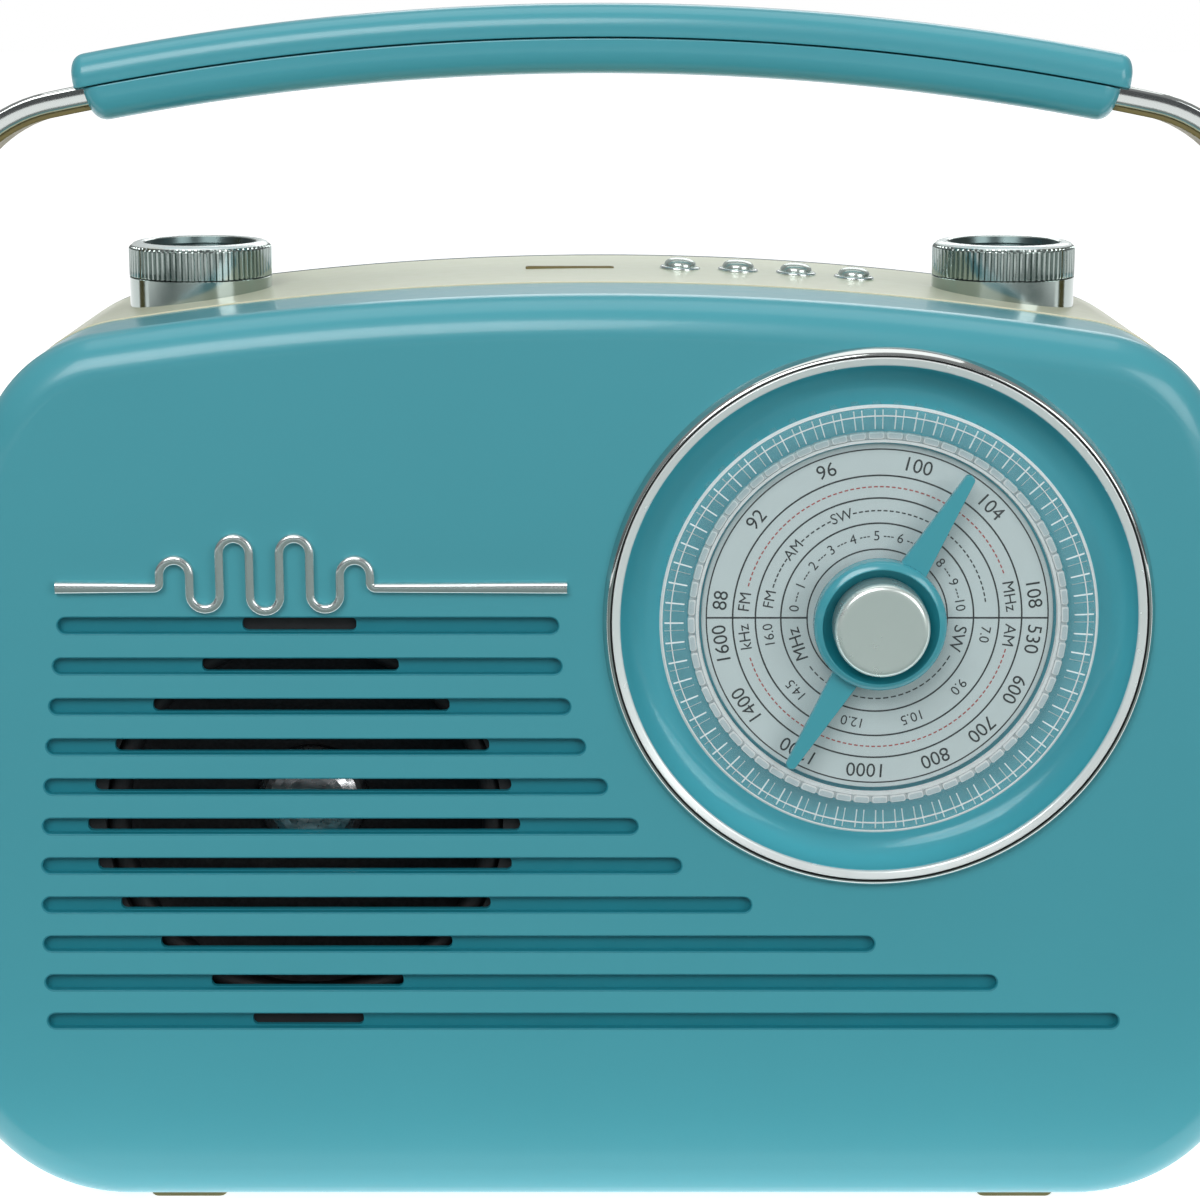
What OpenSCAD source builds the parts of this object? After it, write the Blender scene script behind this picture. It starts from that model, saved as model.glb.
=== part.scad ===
// Retro table and carry radio: moulded case, round tuning dial, top knobs and buttons, folding handle,
// loudspeaker, tuner electronics, battery bay and telescopic aerial.
// X runs to the right as seen from the front, the front faces -Y, Z is up, and Z = 0 is the table.

/* [Case] */
// Overall width of the case at its widest line
body_w = 310.8; // [306:0.2:316]
// Height of the case above its feet
body_h = 216.2; // [214:0.2:219]
// Depth of the case from the flat front to the flat back
body_d = 108; // [107:0.5:110]
// Height of the feet
foot_h = 3.5; // [3:0.1:4]
// Wall thickness of the coloured shells
wall = 3; // [2.8:0.1:3.2]
// Thickness of the front face, where the grille is cut
face_t = 3.5; // [3.3:0.1:3.8]
// Radius of the rolled edge round the front
front_roll = 10; // [9:0.5:12]
// Radius of the rolled edge round the back
back_roll = 13; // [11:0.5:13.5]
// Depth at which the front shell meets the middle frame
band_start = 32.7; // [31:0.1:34]
// Depth at which the middle frame meets the rear shell
band_end = 93.9; // [93:0.1:95]

/* [Grille] */
// Number of grille grooves
slot_count = 11; // [9:1:11]
// Distance between grille grooves
slot_pitch = 9.5; // [9.2:0.1:9.8]
// Height of a grille groove
slot_h = 3.6; // [3:0.1:4]
// Depth of a grille groove
slot_depth = 2; // [1.5:0.1:2.5]
// Distance of the grooves from the side of the case
slot_margin = 25.5; // [24:0.5:28]

/* [Dial] */
// Dial centre to the right of the middle
dial_x = 62.8; // [61:0.1:64]
// Dial centre above the table
dial_z = 146; // [144:0.1:147]
// Outer radius of the chrome bezel
bezel_r = 62.7; // [62:0.1:63]
// Outer radius of the clear tuning wheel
wheel_r = 49.8; // [48:0.1:50.5]
// Radius of the printed scale
scale_r = 40.2; // [39:0.1:40.4]
// Resting angle of the pointer, up from the horizontal
pointer_angle = 59.4; // [30:0.1:90]
// How far the dial cap stands out from the front
cap_proud = 10.6; // [9:0.1:12]

/* [Knobs and buttons] */
// Distance of the two knobs from the middle
knob_x = 97.4; // [95:0.1:99]
// Radius of the knurled knobs
knob_r = 17.2; // [16:0.1:18]
// Height of the knob tops above the table
knob_top = 226.3; // [225.8:0.1:228]
// Distance between the buttons
button_pitch = 14.1; // [13.5:0.1:15]
// Radius of a button
button_r = 3.9; // [3.5:0.1:4]
// Travel of a button
button_travel = 0.9; // [0.5:0.1:0.9]

/* [Handle] */
// Distance from the middle to the middle of each handle arm
arm_x = 159.5; // [159.5:0.1:162]
// Height of the handle pivots above the table
pivot_z = 130; // [125:1:132]
// Height of the handle strap at its middle
strap_top = 273; // [271:0.5:280]
// Radius of the long curve of the handle
handle_r = 648; // [600:1:700]
// Radius of the bend at each end of the handle
bend_r = 35; // [30:1:36]
// Width of the handle strap
strap_w = 16; // [14:0.5:16]

/* [Loudspeaker] */
// Loudspeaker centre to the left of the middle
speaker_x = -68.9; // [-70:0.1:-68]
// Loudspeaker centre above the table
speaker_z = 97.5; // [96:0.1:99]

/* [Battery bay and aerial] */
// Width of the battery bay inside
bay_w = 106; // [104:1:108]
// Height of the battery bay inside
bay_h = 56; // [54:1:56]
// Height of the aerial above the table
aerial_z = 196; // [195:0.5:197]

/* [Hidden] */

// Colours of the real materials
teal = [0.31, 0.61, 0.66];
cream = [0.80, 0.83, 0.79];
tan_brown = [0.68, 0.64, 0.50];
chrome = [0.80, 0.80, 0.82];
steel = [0.62, 0.62, 0.64];
dark = [0.13, 0.13, 0.14];
board_green = [0.12, 0.38, 0.20];

// Clearance of a shaft or pin that turns in a hole
fit = 0.05;
// Depth coordinates are measured from the flat front, which stands here in Y
face_y = (cap_proud - body_d) / 2;
// Y of the knobs, buttons and handle pivots: the middle of the middle frame
top_y = face_y + (band_start + band_end) / 2;

// ---- Outline of the case, made of tangent arcs ----

side_r = 510;
side_z = 65;
side_cx = body_w / 2 - side_r;
arch_r = 730;
arch_cz = foot_h + body_h - arch_r;
foot_corner_r = 42;
foot_corner_z = foot_h + foot_corner_r;
foot_corner_x = side_cx + sqrt(pow(side_r - foot_corner_r, 2) - pow(foot_corner_z - side_z, 2));
top_corner_r = 33;
// The top corner's centre is where a circle about the arch centre meets one about the side centre
corner_a = arch_r - top_corner_r;
corner_b = side_r - top_corner_r;
centre_gap = norm([side_cx, side_z - arch_cz]);
corner_along = (corner_a * corner_a - corner_b * corner_b + centre_gap * centre_gap) / (2 * centre_gap);
corner_out = sqrt(corner_a * corner_a - corner_along * corner_along);
gap_dir = [side_cx, side_z - arch_cz] / centre_gap;
top_corner_x = gap_dir[0] * corner_along + gap_dir[1] * corner_out;
top_corner_z = arch_cz + gap_dir[1] * corner_along - gap_dir[0] * corner_out;
low_turn = atan2(foot_corner_z - side_z, foot_corner_x - side_cx);
high_turn = atan2(top_corner_z - side_z, top_corner_x - side_cx);
arch_turn = atan2(top_corner_z - arch_cz, top_corner_x);

function arc(cx, cz, r, a0, a1, n) = [
    for (i = [0 : n]) let (a = a0 + (a1 - a0) * i / n) [cx + r * cos(a), cz + r * sin(a)]
];
function right_side(inset) = concat(
    arc(foot_corner_x, foot_corner_z, foot_corner_r - inset, -90, low_turn, 9),
    arc(side_cx, side_z, side_r - inset, low_turn + 1, high_turn - 1, 5),
    arc(top_corner_x, top_corner_z, top_corner_r - inset, high_turn, arch_turn, 8)
);
function flip(points) = [for (i = [len(points) - 1 : -1 : 0]) [-points[i][0], points[i][1]]];
function outline(inset) = concat(
    right_side(inset),
    arc(0, arch_cz, arch_r - inset, arch_turn + 1, 179 - arch_turn, 13),
    flip(right_side(inset))
);
// Half width of the case at a given height
function side_at(z) = side_cx + sqrt(side_r * side_r - pow(z - side_z, 2));

// ---- Building aids ----

// Extrude a shape drawn in X and Z from one depth to another
module slab(d0, d1) {
    translate([0, face_y + d1, 0]) rotate([90, 0, 0]) linear_extrude(d1 - d0) children();
}

// Round bar along Y from one depth to another
module rod_y(x, z, r, d0, d1, facets = 48) {
    translate([x, face_y + d1, z]) rotate([90, 0, 0]) cylinder(r = r, h = d1 - d0, $fn = facets);
}

// Round bar along X
module rod_x(x0, x1, y, z, r) {
    translate([x0, y, z]) rotate([0, 90, 0]) cylinder(r = r, h = x1 - x0, $fn = 48);
}

// Round bar along Z
module rod_z(x, y, r, z0, z1) {
    translate([x, y, z0]) cylinder(r = r, h = z1 - z0, $fn = 64);
}

// The same thing on both sides of the middle
module mirrored() {
    children();
    mirror([1, 0, 0]) children();
}

// Box given by its X, depth and Z limits
module block(x0, x1, d0, d1, z0, z1) {
    translate([x0, face_y + d0, z0]) cube([x1 - x0, d1 - d0, z1 - z0]);
}

// Turned part about an axis along Y: the profile is a list of [radius, depth]
module turned(x, z, profile, facets = 128) {
    translate([x, face_y, z]) rotate([90, 0, 0])
        rotate_extrude($fn = facets) polygon([for (p = profile) [p[0], -p[1]]]);
}

// Closed body between two depths whose edge rolls over at the first of them
module rolled_body(flat_d, end_d, roll, inset, draft) {
    steps = 6;
    thin = 0.01;
    way = sign(end_d - flat_d);
    hull() {
        for (i = [0 : steps]) {
            a = 90 * i / steps;
            at = flat_d + way * roll * (1 - cos(a)) - (way > 0 ? 0 : thin);
            slab(at, at + thin) polygon(outline(inset + draft + roll * (1 - sin(a))));
        }
        slab(end_d - (way > 0 ? thin : 0), end_d + (way > 0 ? 0 : thin)) polygon(outline(inset));
    }
}

// Solid form of the front, and of the space inside it where inset is the wall thickness
module front_form(inset, extra) {
    rolled_body(inset > 0 ? face_t : 0, band_start + extra, front_roll - inset, inset, 0.9);
}

// The same for the back
module rear_form(inset, extra) {
    rolled_body(body_d - inset, band_end - extra, back_roll - inset, inset, 0.2);
}

// ---- Case ----

post_spots = [[130, 165], [-130, 165], [135, 30], [-135, 30]];
board_half = 54;
board_spots = [for (sx = [-1, 1], z = [66, 186]) [dial_x + sx * board_half, z]];
speaker_bolt_r = 55;
speaker_spots = [
    for (a = [45 : 90 : 315]) [speaker_x + speaker_bolt_r * cos(a), speaker_z + speaker_bolt_r * sin(a)]
];
foot_x = 100;
foot_w = 21;
foot_depths = [12.8, 72.8];
foot_len = 16;
dial_hole_r = 60.2;
peg_r = 0.9;
peg_spots = [for (a = [30 : 60 : 330]) [dial_x + 61.6 * cos(a), dial_z + 61.6 * sin(a)]];

// The grille curves round the dial at the top, and its last grooves step out evenly
grille_arc_r = 72.8;
grille_arc_z = 145.6;
grille_top = 145;
grille_step = 28.8;
arc_slots = 7;
// Half widths of the open part of the grooves, from the middle groove outwards
open_halves = [50, 48, 43, 34, 22.5, 13];

function slot_z(i) = grille_top - slot_pitch * i;
function arc_end(i) = dial_x - sqrt(grille_arc_r * grille_arc_r - pow(slot_z(i) - grille_arc_z, 2));
function slot_end(i) = i <= arc_slots ? arc_end(i) : arc_end(arc_slots) + grille_step * (i - arc_slots);

module stadium(x0, x1, z, h) {
    translate([x0 + h / 2, z - h / 2]) square([x1 - x0 - h, h]);
    for (x = [x0 + h / 2, x1 - h / 2]) translate([x, z]) circle(d = h, $fn = 24);
}

module grille_cuts() {
    slab(-1, slot_depth) for (i = [0 : slot_count - 1])
        stadium(slot_margin - side_at(slot_z(i)), slot_end(i), slot_z(i), slot_h);
    slab(slot_depth - 1, face_t + 1) for (i = [0 : slot_count - 1]) {
        half = open_halves[abs(i - 5)];
        translate([speaker_x - half, slot_z(i) - slot_h / 2 + 0.2]) square([2 * half, slot_h - 0.4]);
    }
}

module foot_pocket(d0) {
    for (x = [-foot_x, foot_x]) block(x - foot_w / 2, x + foot_w / 2, d0, d0 + foot_len, 0, foot_h + 1.5);
}

module front_shell() color(teal) {
    difference() {
        union() {
            difference() {
                front_form(0, 0);
                front_form(wall, 1);
            }
            for (p = post_spots) rod_y(p[0], p[1], 4.5, face_t - 0.5, 58);
            for (p = board_spots) rod_y(p[0], p[1], 3, face_t - 0.5, 32);
            for (p = speaker_spots) rod_y(p[0], p[1], 3, face_t - 0.5, 7);
        }
        grille_cuts();
        rod_y(dial_x, dial_z, dial_hole_r, -1, face_t + 1, 128);
        for (p = peg_spots) rod_y(p[0], p[1], peg_r + fit, -1, face_t + 1, 24);
        for (p = post_spots) rod_y(p[0], p[1], 1.3, 40, 59, 24);
        for (p = board_spots) rod_y(p[0], p[1], 1.1, 22, 33, 24);
        for (p = speaker_spots) rod_y(p[0], p[1], 1.1, 3, 8, 24);
        foot_pocket(foot_depths[0]);
    }
}

band_wall = 2.6;
lip = 1.5;
boss_x = 156.5;
boss_r = 11;
// Height at which the control nuts stand, just above the curved top
nut_z = 214.2;

// Rear battery bay, its door recess and the hinge of the door
bay_front = 76.7;
bay_z = 24;
door_t = 2.2;
hinge_z = 22.6;
hinge_d = body_d - 1.1;
// Rebate along the rear top edge where the aerial lies
rebate_z = aerial_z - 7;
rebate_d = 96.5;
aerial_d = 102.5;
aerial_x = -116;

jack_x = 100;
power_z = 40;
phone_z = 60;

module mid_frame() color(cream) {
    difference() {
        union() {
            slab(band_start, band_end) difference() {
                polygon(outline(0));
                polygon(outline(band_wall));
            }
            slab(band_start - 2, band_start + 3) difference() {
                polygon(outline(wall + 0.1));
                polygon(outline(wall + 0.1 + lip));
            }
            slab(band_start, band_start + 3) difference() {
                polygon(outline(band_wall - 0.2));
                polygon(outline(wall + 0.1 + lip));
            }
            mirrored() intersection() {
                rod_x(140, boss_x, top_y, pivot_z, boss_r);
                block(0, 200, band_start, band_end, 0, 250);
            }
            for (s = [-1, 1]) rod_z(s * knob_x, top_y, 9, 205, nut_z);
        }
        mirrored() rod_x(142, 160, top_y, pivot_z, 2);
        for (s = [-1, 1]) rod_z(s * knob_x, top_y, 3.55, 200, 230);
        for (i = [0 : 3]) on_button(i)
            translate([0, 0, -6]) cylinder(r = button_r + 0.15, h = 12, $fn = 48);
        translate([card_x - card_w / 2, top_y - 1.3, 210]) cube([card_w, 2.6, 12]);
        foot_pocket(foot_depths[1]);
    }
}

module rear_shell() color(teal) {
    bay_x = bay_w / 2;
    bay_top = bay_z + bay_h;
    difference() {
        union() {
            difference() {
                rear_form(0, 0);
                rear_form(wall, 1);
            }
            for (p = post_spots) rod_y(p[0], p[1], 4.5, 58.2, body_d - 2.5);
            block(-bay_x - 2, bay_x + 2, bay_front - 2, body_d - 1, hinge_z - 5, bay_top + 2);
            intersection() {
                rear_form(0, 0);
                block(-200, 200, band_end, body_d, rebate_z - 3, rebate_z);
            }
            for (z = [power_z, phone_z]) rod_y(jack_x, z, 7, body_d - 5, body_d - 1);
        }
        block(-bay_x, bay_x, bay_front, body_d + 1, bay_z, bay_top);
        block(-bay_x - 3, bay_x + 3, body_d - door_t, body_d + 1, hinge_z - 1.6, bay_top + 3);
        rod_x(-bay_x - 3, bay_x + 3, face_y + hinge_d, hinge_z, 2.3);
        rod_x(-bay_x - 5, bay_x + 5, face_y + hinge_d, hinge_z, 1.25);
        block(-14, 14, body_d - 1.2, body_d + 1, bay_top, bay_top + 8);
        block(-200, 200, band_end - 1, body_d + 5, rebate_z, 230);
        for (p = post_spots) rod_y(p[0], p[1], 1.7, 58, 71, 24);
        for (p = post_spots) rod_y(p[0], p[1], 3.3, 70, body_d + 1);
        for (z = [power_z, phone_z]) rod_y(jack_x, z, 4.1, body_d - 6, body_d + 1);
        for (i = [-4 : 4]) slab(body_d - 4, body_d + 1) translate([i * 9 - 1.2, 112]) square([2.4, 46]);
    }
}

// Upright part of the rear shell behind the aerial
module rear_ledge() color(teal) {
    difference() {
        intersection() {
            rear_form(0, 0);
            block(-200, 200, band_end, rebate_d, rebate_z, 230);
        }
        rod_y(aerial_x, aerial_z, 2.5 + fit, band_end - 1, rebate_d + 1);
    }
}

module battery_door() color(teal) {
    bay_x = bay_w / 2;
    bay_top = bay_z + bay_h;
    difference() {
        union() {
            block(-bay_x - 2.7, bay_x + 2.7, body_d - door_t, body_d, hinge_z - 1.3, bay_top + 2.7);
            mirrored() rod_x(bay_x, bay_x + 4.6, face_y + hinge_d, hinge_z, 1.2);
        }
        for (i = [0 : 4])
            block(-24, 24, body_d - 0.8, body_d + 1, bay_top - 6 - 3 * i, bay_top - 4.8 - 3 * i);
    }
}

// Spring contact: a plate on the bay's end wall with a stepped spring standing on it
module battery_contacts() color(steel) {
    plate_x = bay_w / 2 - 0.5;
    turn_t = 1.4;
    for (z = [bay_z + 14, bay_z + 42]) mirrored() {
        block(plate_x, bay_w / 2, 83, 99, z - 8, z + 8);
        for (k = [0 : 2])
            rod_x(plate_x - turn_t * (k + 1), plate_x - turn_t * k, face_y + 91, z, 6.5 - 1.2 * k);
    }
}

module feet() color(tan_brown) {
    for (s = [-1, 1], d = foot_depths) slab(d, d + foot_len) translate([s * foot_x, 0])
        polygon([
            [-foot_w / 2 + 1.5, 0], [foot_w / 2 - 1.5, 0], [foot_w / 2, foot_h],
            [foot_w / 2, foot_h + 1.5], [-foot_w / 2, foot_h + 1.5], [-foot_w / 2, foot_h]
        ]);
}

module case_screws() color(steel) {
    for (p = post_spots) {
        rod_y(p[0], p[1], 1.3, 42, 71, 24);
        rod_y(p[0], p[1], 3, 70, 72.4, 32);
    }
}

// ---- Badge: a bar with a burst of sound waves ----

badge_z = 154;
badge_h = 2.8;
badge_x0 = -123.6;
badge_x1 = -7.9;
wave_x0 = -100;
wave_r = 3.4;
wave_half = 1.1;
// Heights of the successive wave crests and troughs above the bar
wave_turns = [3, -1.5, 8, -2, 8, -1.5, 3];

module badge_trim() color(chrome) {
    turns = len(wave_turns);
    wave_x1 = wave_x0 + 2 * wave_r * turns;
    slab(-1.8, 0) {
        translate([badge_x0, badge_z - badge_h / 2]) square([wave_x0 + wave_half - badge_x0, badge_h]);
        translate([wave_x1 - wave_half, badge_z - badge_h / 2])
            square([badge_x1 - wave_x1 + wave_half, badge_h]);
        for (i = [0 : turns - 1]) {
            up = i % 2 == 0;
            translate([wave_x0 + wave_r * (2 * i + 1), badge_z + wave_turns[i]]) difference() {
                circle(r = wave_r + wave_half, $fn = 48);
                circle(r = wave_r - wave_half, $fn = 48);
                translate([-10, up ? -20 : 0]) square([20, 20]);
            }
        }
        for (i = [0 : turns]) {
            before = i == 0 ? 0 : wave_turns[i - 1];
            after = i == turns ? 0 : wave_turns[i];
            low = min(before, after);
            translate([wave_x0 + 2 * wave_r * i - wave_half, badge_z + low])
                square([2 * wave_half, max(before, after) - low]);
        }
    }
    for (x = [badge_x0 + 6, badge_x1 - 6]) rod_y(x, badge_z, 1, -0.5, 0, 24);
}

// ---- Tuning dial ----

scale_front = 3.8;
scale_back = 4.6;
wheel_front = -1.3;
dish_floor = 9;

module dial_bezel() color(chrome) {
    turned(dial_x, dial_z, [
        [bezel_r, 0], [bezel_r - 0.1, -1.2], [bezel_r - 0.8, -2.2], [bezel_r - 1.6, -2.5],
        [bezel_r - 2.4, -2.2], [bezel_r - 3.2, -1], [bezel_r - 3.2, 1.5], [bezel_r - 2.6, 1.5],
        [bezel_r - 2.6, 0]
    ]);
    for (p = peg_spots) rod_y(p[0], p[1], peg_r, -0.5, 6.4, 24);
}

module dial_dish() color(teal) {
    bowl_r = 7.4;
    difference() {
        turned(dial_x, dial_z, concat(
            [[60, 1.6], [60, face_t], [63.5, face_t], [63.5, face_t + 2], [60.6, face_t + 2], [54, 11],
            [38.6, 11], [38.6, 6.6], [6, 6.6], [6, scale_back], [scale_r + 0.4, scale_back],
            [scale_r + 0.4, dish_floor]],
            [for (a = [90 : -15 : 0]) [52 + bowl_r * cos(a), 1.6 + bowl_r * sin(a)]]
        ));
        for (p = peg_spots) rod_y(p[0], p[1], peg_r + fit, 0, 12, 24);
        // Its flange is thinner at the top, where the case's edge rolls over
        intersection() {
            turned(dial_x, dial_z, [
                [60, face_t - 0.1], [64, face_t - 0.1], [64, face_t + 1], [60, face_t + 1]
            ]);
            block(dial_x - 50, dial_x + 50, 3, 6, dial_z + 45, dial_z + 70);
        }
    }
}

module dial_scale() color([0.92, 0.93, 0.93]) {
    difference() {
        rod_y(dial_x, dial_z, scale_r, scale_front, scale_back, 128);
        rod_y(dial_x, dial_z, 8, scale_front - 1, scale_back + 1);
    }
}

// Toothed ring: straight flutes round a circle
function fluted(r, depth, count) = [for (i = [0 : count - 1], k = [0 : 3])
    let (a = 360 * (i + [-0.25, -0.18, 0.18, 0.25][k]) / count, q = k == 1 || k == 2 ? r : r - depth)
    [q * cos(a), q * sin(a)]];

module tuning_wheel() color([0.85, 0.92, 0.93, 0.5]) {
    rib_count = 64;
    difference() {
        union() {
            slab(wheel_front, 6.5) translate([dial_x, dial_z]) difference() {
                polygon(fluted(wheel_r, 1, rib_count));
                circle(r = 41.6, $fn = 128);
            }
            rod_y(dial_x, dial_z, 42, wheel_front, 0.7, 128);
            rod_y(dial_x, dial_z, 6, wheel_front, 3.4);
        }
        rod_y(dial_x, dial_z, 3, wheel_front - 1, 4);
    }
}

module dial_pointer() color(teal) {
    turned(dial_x, dial_z, [
        [1.3, -2.5], [10.9, -2.5], [10.9, -5.5], [11.6, -6.2], [14.2, -6.2], [15, -5.2], [15, wheel_front],
        [1.3, wheel_front]
    ]);
    for (a = [pointer_angle, pointer_angle + 180])
        slab(-2.9, wheel_front) translate([dial_x, dial_z]) rotate(a)
            polygon([[14, -3.3], [39, -1.15], [39.4, 0], [39, 1.15], [14, 3.3]]);
}

module dial_cap() color(chrome) {
    front = -cap_proud;
    turned(dial_x, dial_z, [
        [0, front], [9.6, front], [10.4, front + 0.5], [10.8, front + 1.4], [10.8, -2.5], [9.2, -2.5],
        [9.2, front + 2], [0, front + 2]
    ]);
}

module dial_screw() color(steel) {
    rod_y(dial_x, dial_z, 3.2, -4.6, -2.5, 32);
    rod_y(dial_x, dial_z, 1.2, -3, 6, 24);
}

module tuning_shaft() color(steel) {
    difference() {
        rod_y(dial_x, dial_z, 3, wheel_front, 30.5);
        rod_y(dial_x, dial_z, 1.2, wheel_front - 1, 7, 24);
    }
}

module tuning_capacitor() color([0.86, 0.86, 0.82]) {
    difference() {
        union() {
            block(dial_x - 12, dial_x + 12, 18, 32, dial_z - 12, dial_z + 12);
            rod_y(dial_x, dial_z, 5, 14, 19);
        }
        rod_y(dial_x, dial_z, 3 + fit, 13, 31);
    }
}

// ---- Knobs ----

// The fixed collar stands under the knob, which turns just above it
collar_top = 217.9;
knob_base = 218.1;
shaft_r = 3;
knurl_z0 = 218.4;
knurl_z1 = 225;
shaft_top = 222.8;

module knob(x) {
    flutes = 72;
    translate([x, top_y, 0]) difference() {
        union() {
            translate([0, 0, knurl_z0]) linear_extrude(knurl_z1 - knurl_z0)
                polygon(fluted(knob_r, 0.5, flutes));
            rotate_extrude($fn = 96) polygon([
                [0, knob_base], [knob_r - 1, knob_base], [knob_r - 0.6, knurl_z0], [knob_r - 0.6, knurl_z1],
                [knob_r - 1.1, knob_top - 0.4], [knob_r - 1.9, knob_top], [knob_r - 3.4, knob_top],
                [knob_r - 4.8, knob_top - 1.4], [0, knob_top - 1.7]
            ]);
        }
        translate([0, 0, knob_base - 1]) cylinder(r = shaft_r, h = shaft_top - knob_base + 1, $fn = 48);
    }
}

module knob_shaft(x) {
    rod_z(x, top_y, shaft_r, 200, shaft_top);
}

module volume_knob() color(chrome) {
    knob(knob_x);
}

module volume_shaft() color(steel) {
    knob_shaft(knob_x);
}

module volume_control() color(steel) {
    difference() {
        union() {
            rod_z(knob_x, top_y, 8, 196, 205);
            rod_z(knob_x, top_y, 3.5, 204, 216.2);
        }
        rod_z(knob_x, top_y, shaft_r + fit, 199, 220);
    }
}

module band_knob() color(chrome) {
    knob(-knob_x);
}

module band_shaft() color(steel) {
    knob_shaft(-knob_x);
}

module band_switch() color(dark) {
    difference() {
        union() {
            rod_z(-knob_x, top_y, 10, 198, 205);
            translate([-knob_x - 9, top_y - 7, 192]) cube([18, 14, 7]);
            rod_z(-knob_x, top_y, 3.5, 204, 216.2);
        }
        rod_z(-knob_x, top_y, shaft_r + fit, 199, 220);
    }
}

module knob_collars() color(chrome) {
    for (s = [-1, 1]) difference() {
        rod_z(s * knob_x, top_y, knob_r, 205, collar_top);
        rod_z(s * knob_x, top_y, 9.2, 204, 219);
        slab(0, body_d) polygon(outline(0));
    }
}

module control_nuts() color(steel) {
    for (s = [-1, 1]) translate([s * knob_x, top_y, nut_z]) difference() {
        cylinder(r = 6.2, h = 2, $fn = 6);
        translate([0, 0, -1]) cylinder(r = 3.5, h = 4, $fn = 48);
    }
}

// ---- Push buttons and card slot ----

button_mid = 40.1;
button_tilt = asin(button_mid / arch_r);
// How far a button's stem reaches below the case top
stem_end = 6.2;

// Frame of one button: its origin lies on the case top and its Z is the way out
module on_button(i) {
    dx = (i - 1.5) * button_pitch;
    translate([0, top_y, arch_cz]) rotate([0, button_tilt, 0])
        translate([dx, 0, sqrt(arch_r * arch_r - dx * dx)]) children();
}

module button(i) {
    on_button(i) rotate_extrude($fn = 48) polygon([
        [0, -stem_end], [1.8, -stem_end], [1.8, -3.9], [button_r + 1, -3.9], [button_r + 1, -2.9],
        [button_r, -2.9], [button_r, 1.4], [button_r * 0.94, 2.1], [button_r * 0.78, 2.7],
        [button_r * 0.5, 3.1], [0, 3.2]
    ]);
}

module button_1() color(chrome) {
    button(0);
}

module button_2() color(chrome) {
    button(1);
}

module button_3() color(chrome) {
    button(2);
}

module button_4() color(chrome) {
    button(3);
}

module button_collars() color(chrome) {
    for (i = [0 : 3]) difference() {
        on_button(i) rotate_extrude($fn = 48)
            polygon([
                [button_r + 0.15, -0.5], [button_r + 1, -0.5], [button_r + 1, 0.3], [button_r + 0.7, 0.6],
                [button_r + 0.15, 0.7]
            ]);
        slab(0, body_d) polygon(outline(0));
    }
}

board_drop = 11;
// The switches end just below the stems of fully pressed buttons
switch_top = stem_end + button_travel + 0.5;

module on_bank() {
    translate([0, top_y, arch_cz]) rotate([0, button_tilt, 0]) translate([0, 0, arch_r]) children();
}

module button_board() color(board_green) {
    on_bank() translate([-2.3 * button_pitch, -9, -board_drop - 1.6]) cube([4.6 * button_pitch, 18, 1.6]);
}

module button_switches() color(dark) {
    for (i = [0 : 3]) on_bank() translate([(i - 1.5) * button_pitch, 0, -board_drop]) {
        translate([-3, -3, 0]) cube([6, 6, 2.6]);
        cylinder(r = 1.6, h = board_drop - switch_top, $fn = 24);
    }
}

card_x = -7.8;
card_w = 21.4;

module card_slot_trim() color(tan_brown) {
    difference() {
        translate([card_x - card_w / 2, top_y - 1.3, 217]) cube([card_w, 2.6, 3]);
        translate([card_x - card_w / 2 + 0.6, top_y - 0.7, 210]) cube([card_w - 1.2, 1.4, 15]);
    }
}

module card_reader() color(steel) {
    difference() {
        translate([card_x - card_w / 2 - 2, top_y - 5, 195]) cube([card_w + 4, 10, 21.6]);
        translate([card_x - card_w / 2 + 0.6, top_y - 0.7, 197]) cube([card_w - 1.2, 1.4, 25]);
    }
}

// ---- Handle ----

strap_t = 5;
liner_t = 1.2;
arm_in = arm_x - strap_t / 2;
arm_out = arm_x + strap_t / 2;
handle_cz = strap_top - handle_r;
bend_x = arm_x - bend_r;
bend_z = handle_cz + sqrt(pow(handle_r - bend_r, 2) - bend_x * bend_x);
bend_turn = atan2(bend_z - handle_cz, bend_x);
seam_r = handle_r + 1.8;
grip_top_r = handle_r + 9.6;
grip_low_r = handle_r - 6.7;
grip_half_w = 11;
grip_round = 5.5;
top_half_angle = 11.1;
low_half_angle = 10.93;

// Centre line of the handle, moved outwards by off, from one foot over the top to the other
function bow(off, foot_z) = concat(
    [[arm_x + off, foot_z]],
    arc(bend_x, bend_z, bend_r + off, 0, bend_turn, 10),
    arc(0, handle_cz, handle_r + off, bend_turn + 0.8, 179.2 - bend_turn, 13),
    flip(arc(bend_x, bend_z, bend_r + off, 0, bend_turn, 10)),
    [[-arm_x - off, foot_z]]
);

module bow_strip(outer, inner, width, foot_z) {
    outer_line = bow(outer, foot_z);
    inner_line = bow(inner, foot_z);
    count = len(inner_line);
    translate([0, top_y + width / 2, 0]) rotate([90, 0, 0]) linear_extrude(width)
        polygon(concat(outer_line, [for (i = [count - 1 : -1 : 0]) inner_line[i]]));
}

module handle_strap() color(chrome) {
    difference() {
        union() {
            bow_strip(strap_t / 2, -strap_t / 2, strap_w, pivot_z);
            mirrored() rod_x(arm_in, arm_out, top_y, pivot_z, boss_r);
        }
        mirrored() rod_x(arm_in - 5, arm_out + 5, top_y, pivot_z, 4 + fit);
        for (a = [84, 96]) rotate_about_bow(a) cylinder(r = 1.7, h = 12, center = true, $fn = 24);
    }
}

// Place something on the strap's centre line, with Z pointing away from the curve's centre
module rotate_about_bow(a) {
    translate([0, top_y, handle_cz]) rotate([0, 90 - a, 0]) translate([0, 0, handle_r]) children();
}

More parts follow.
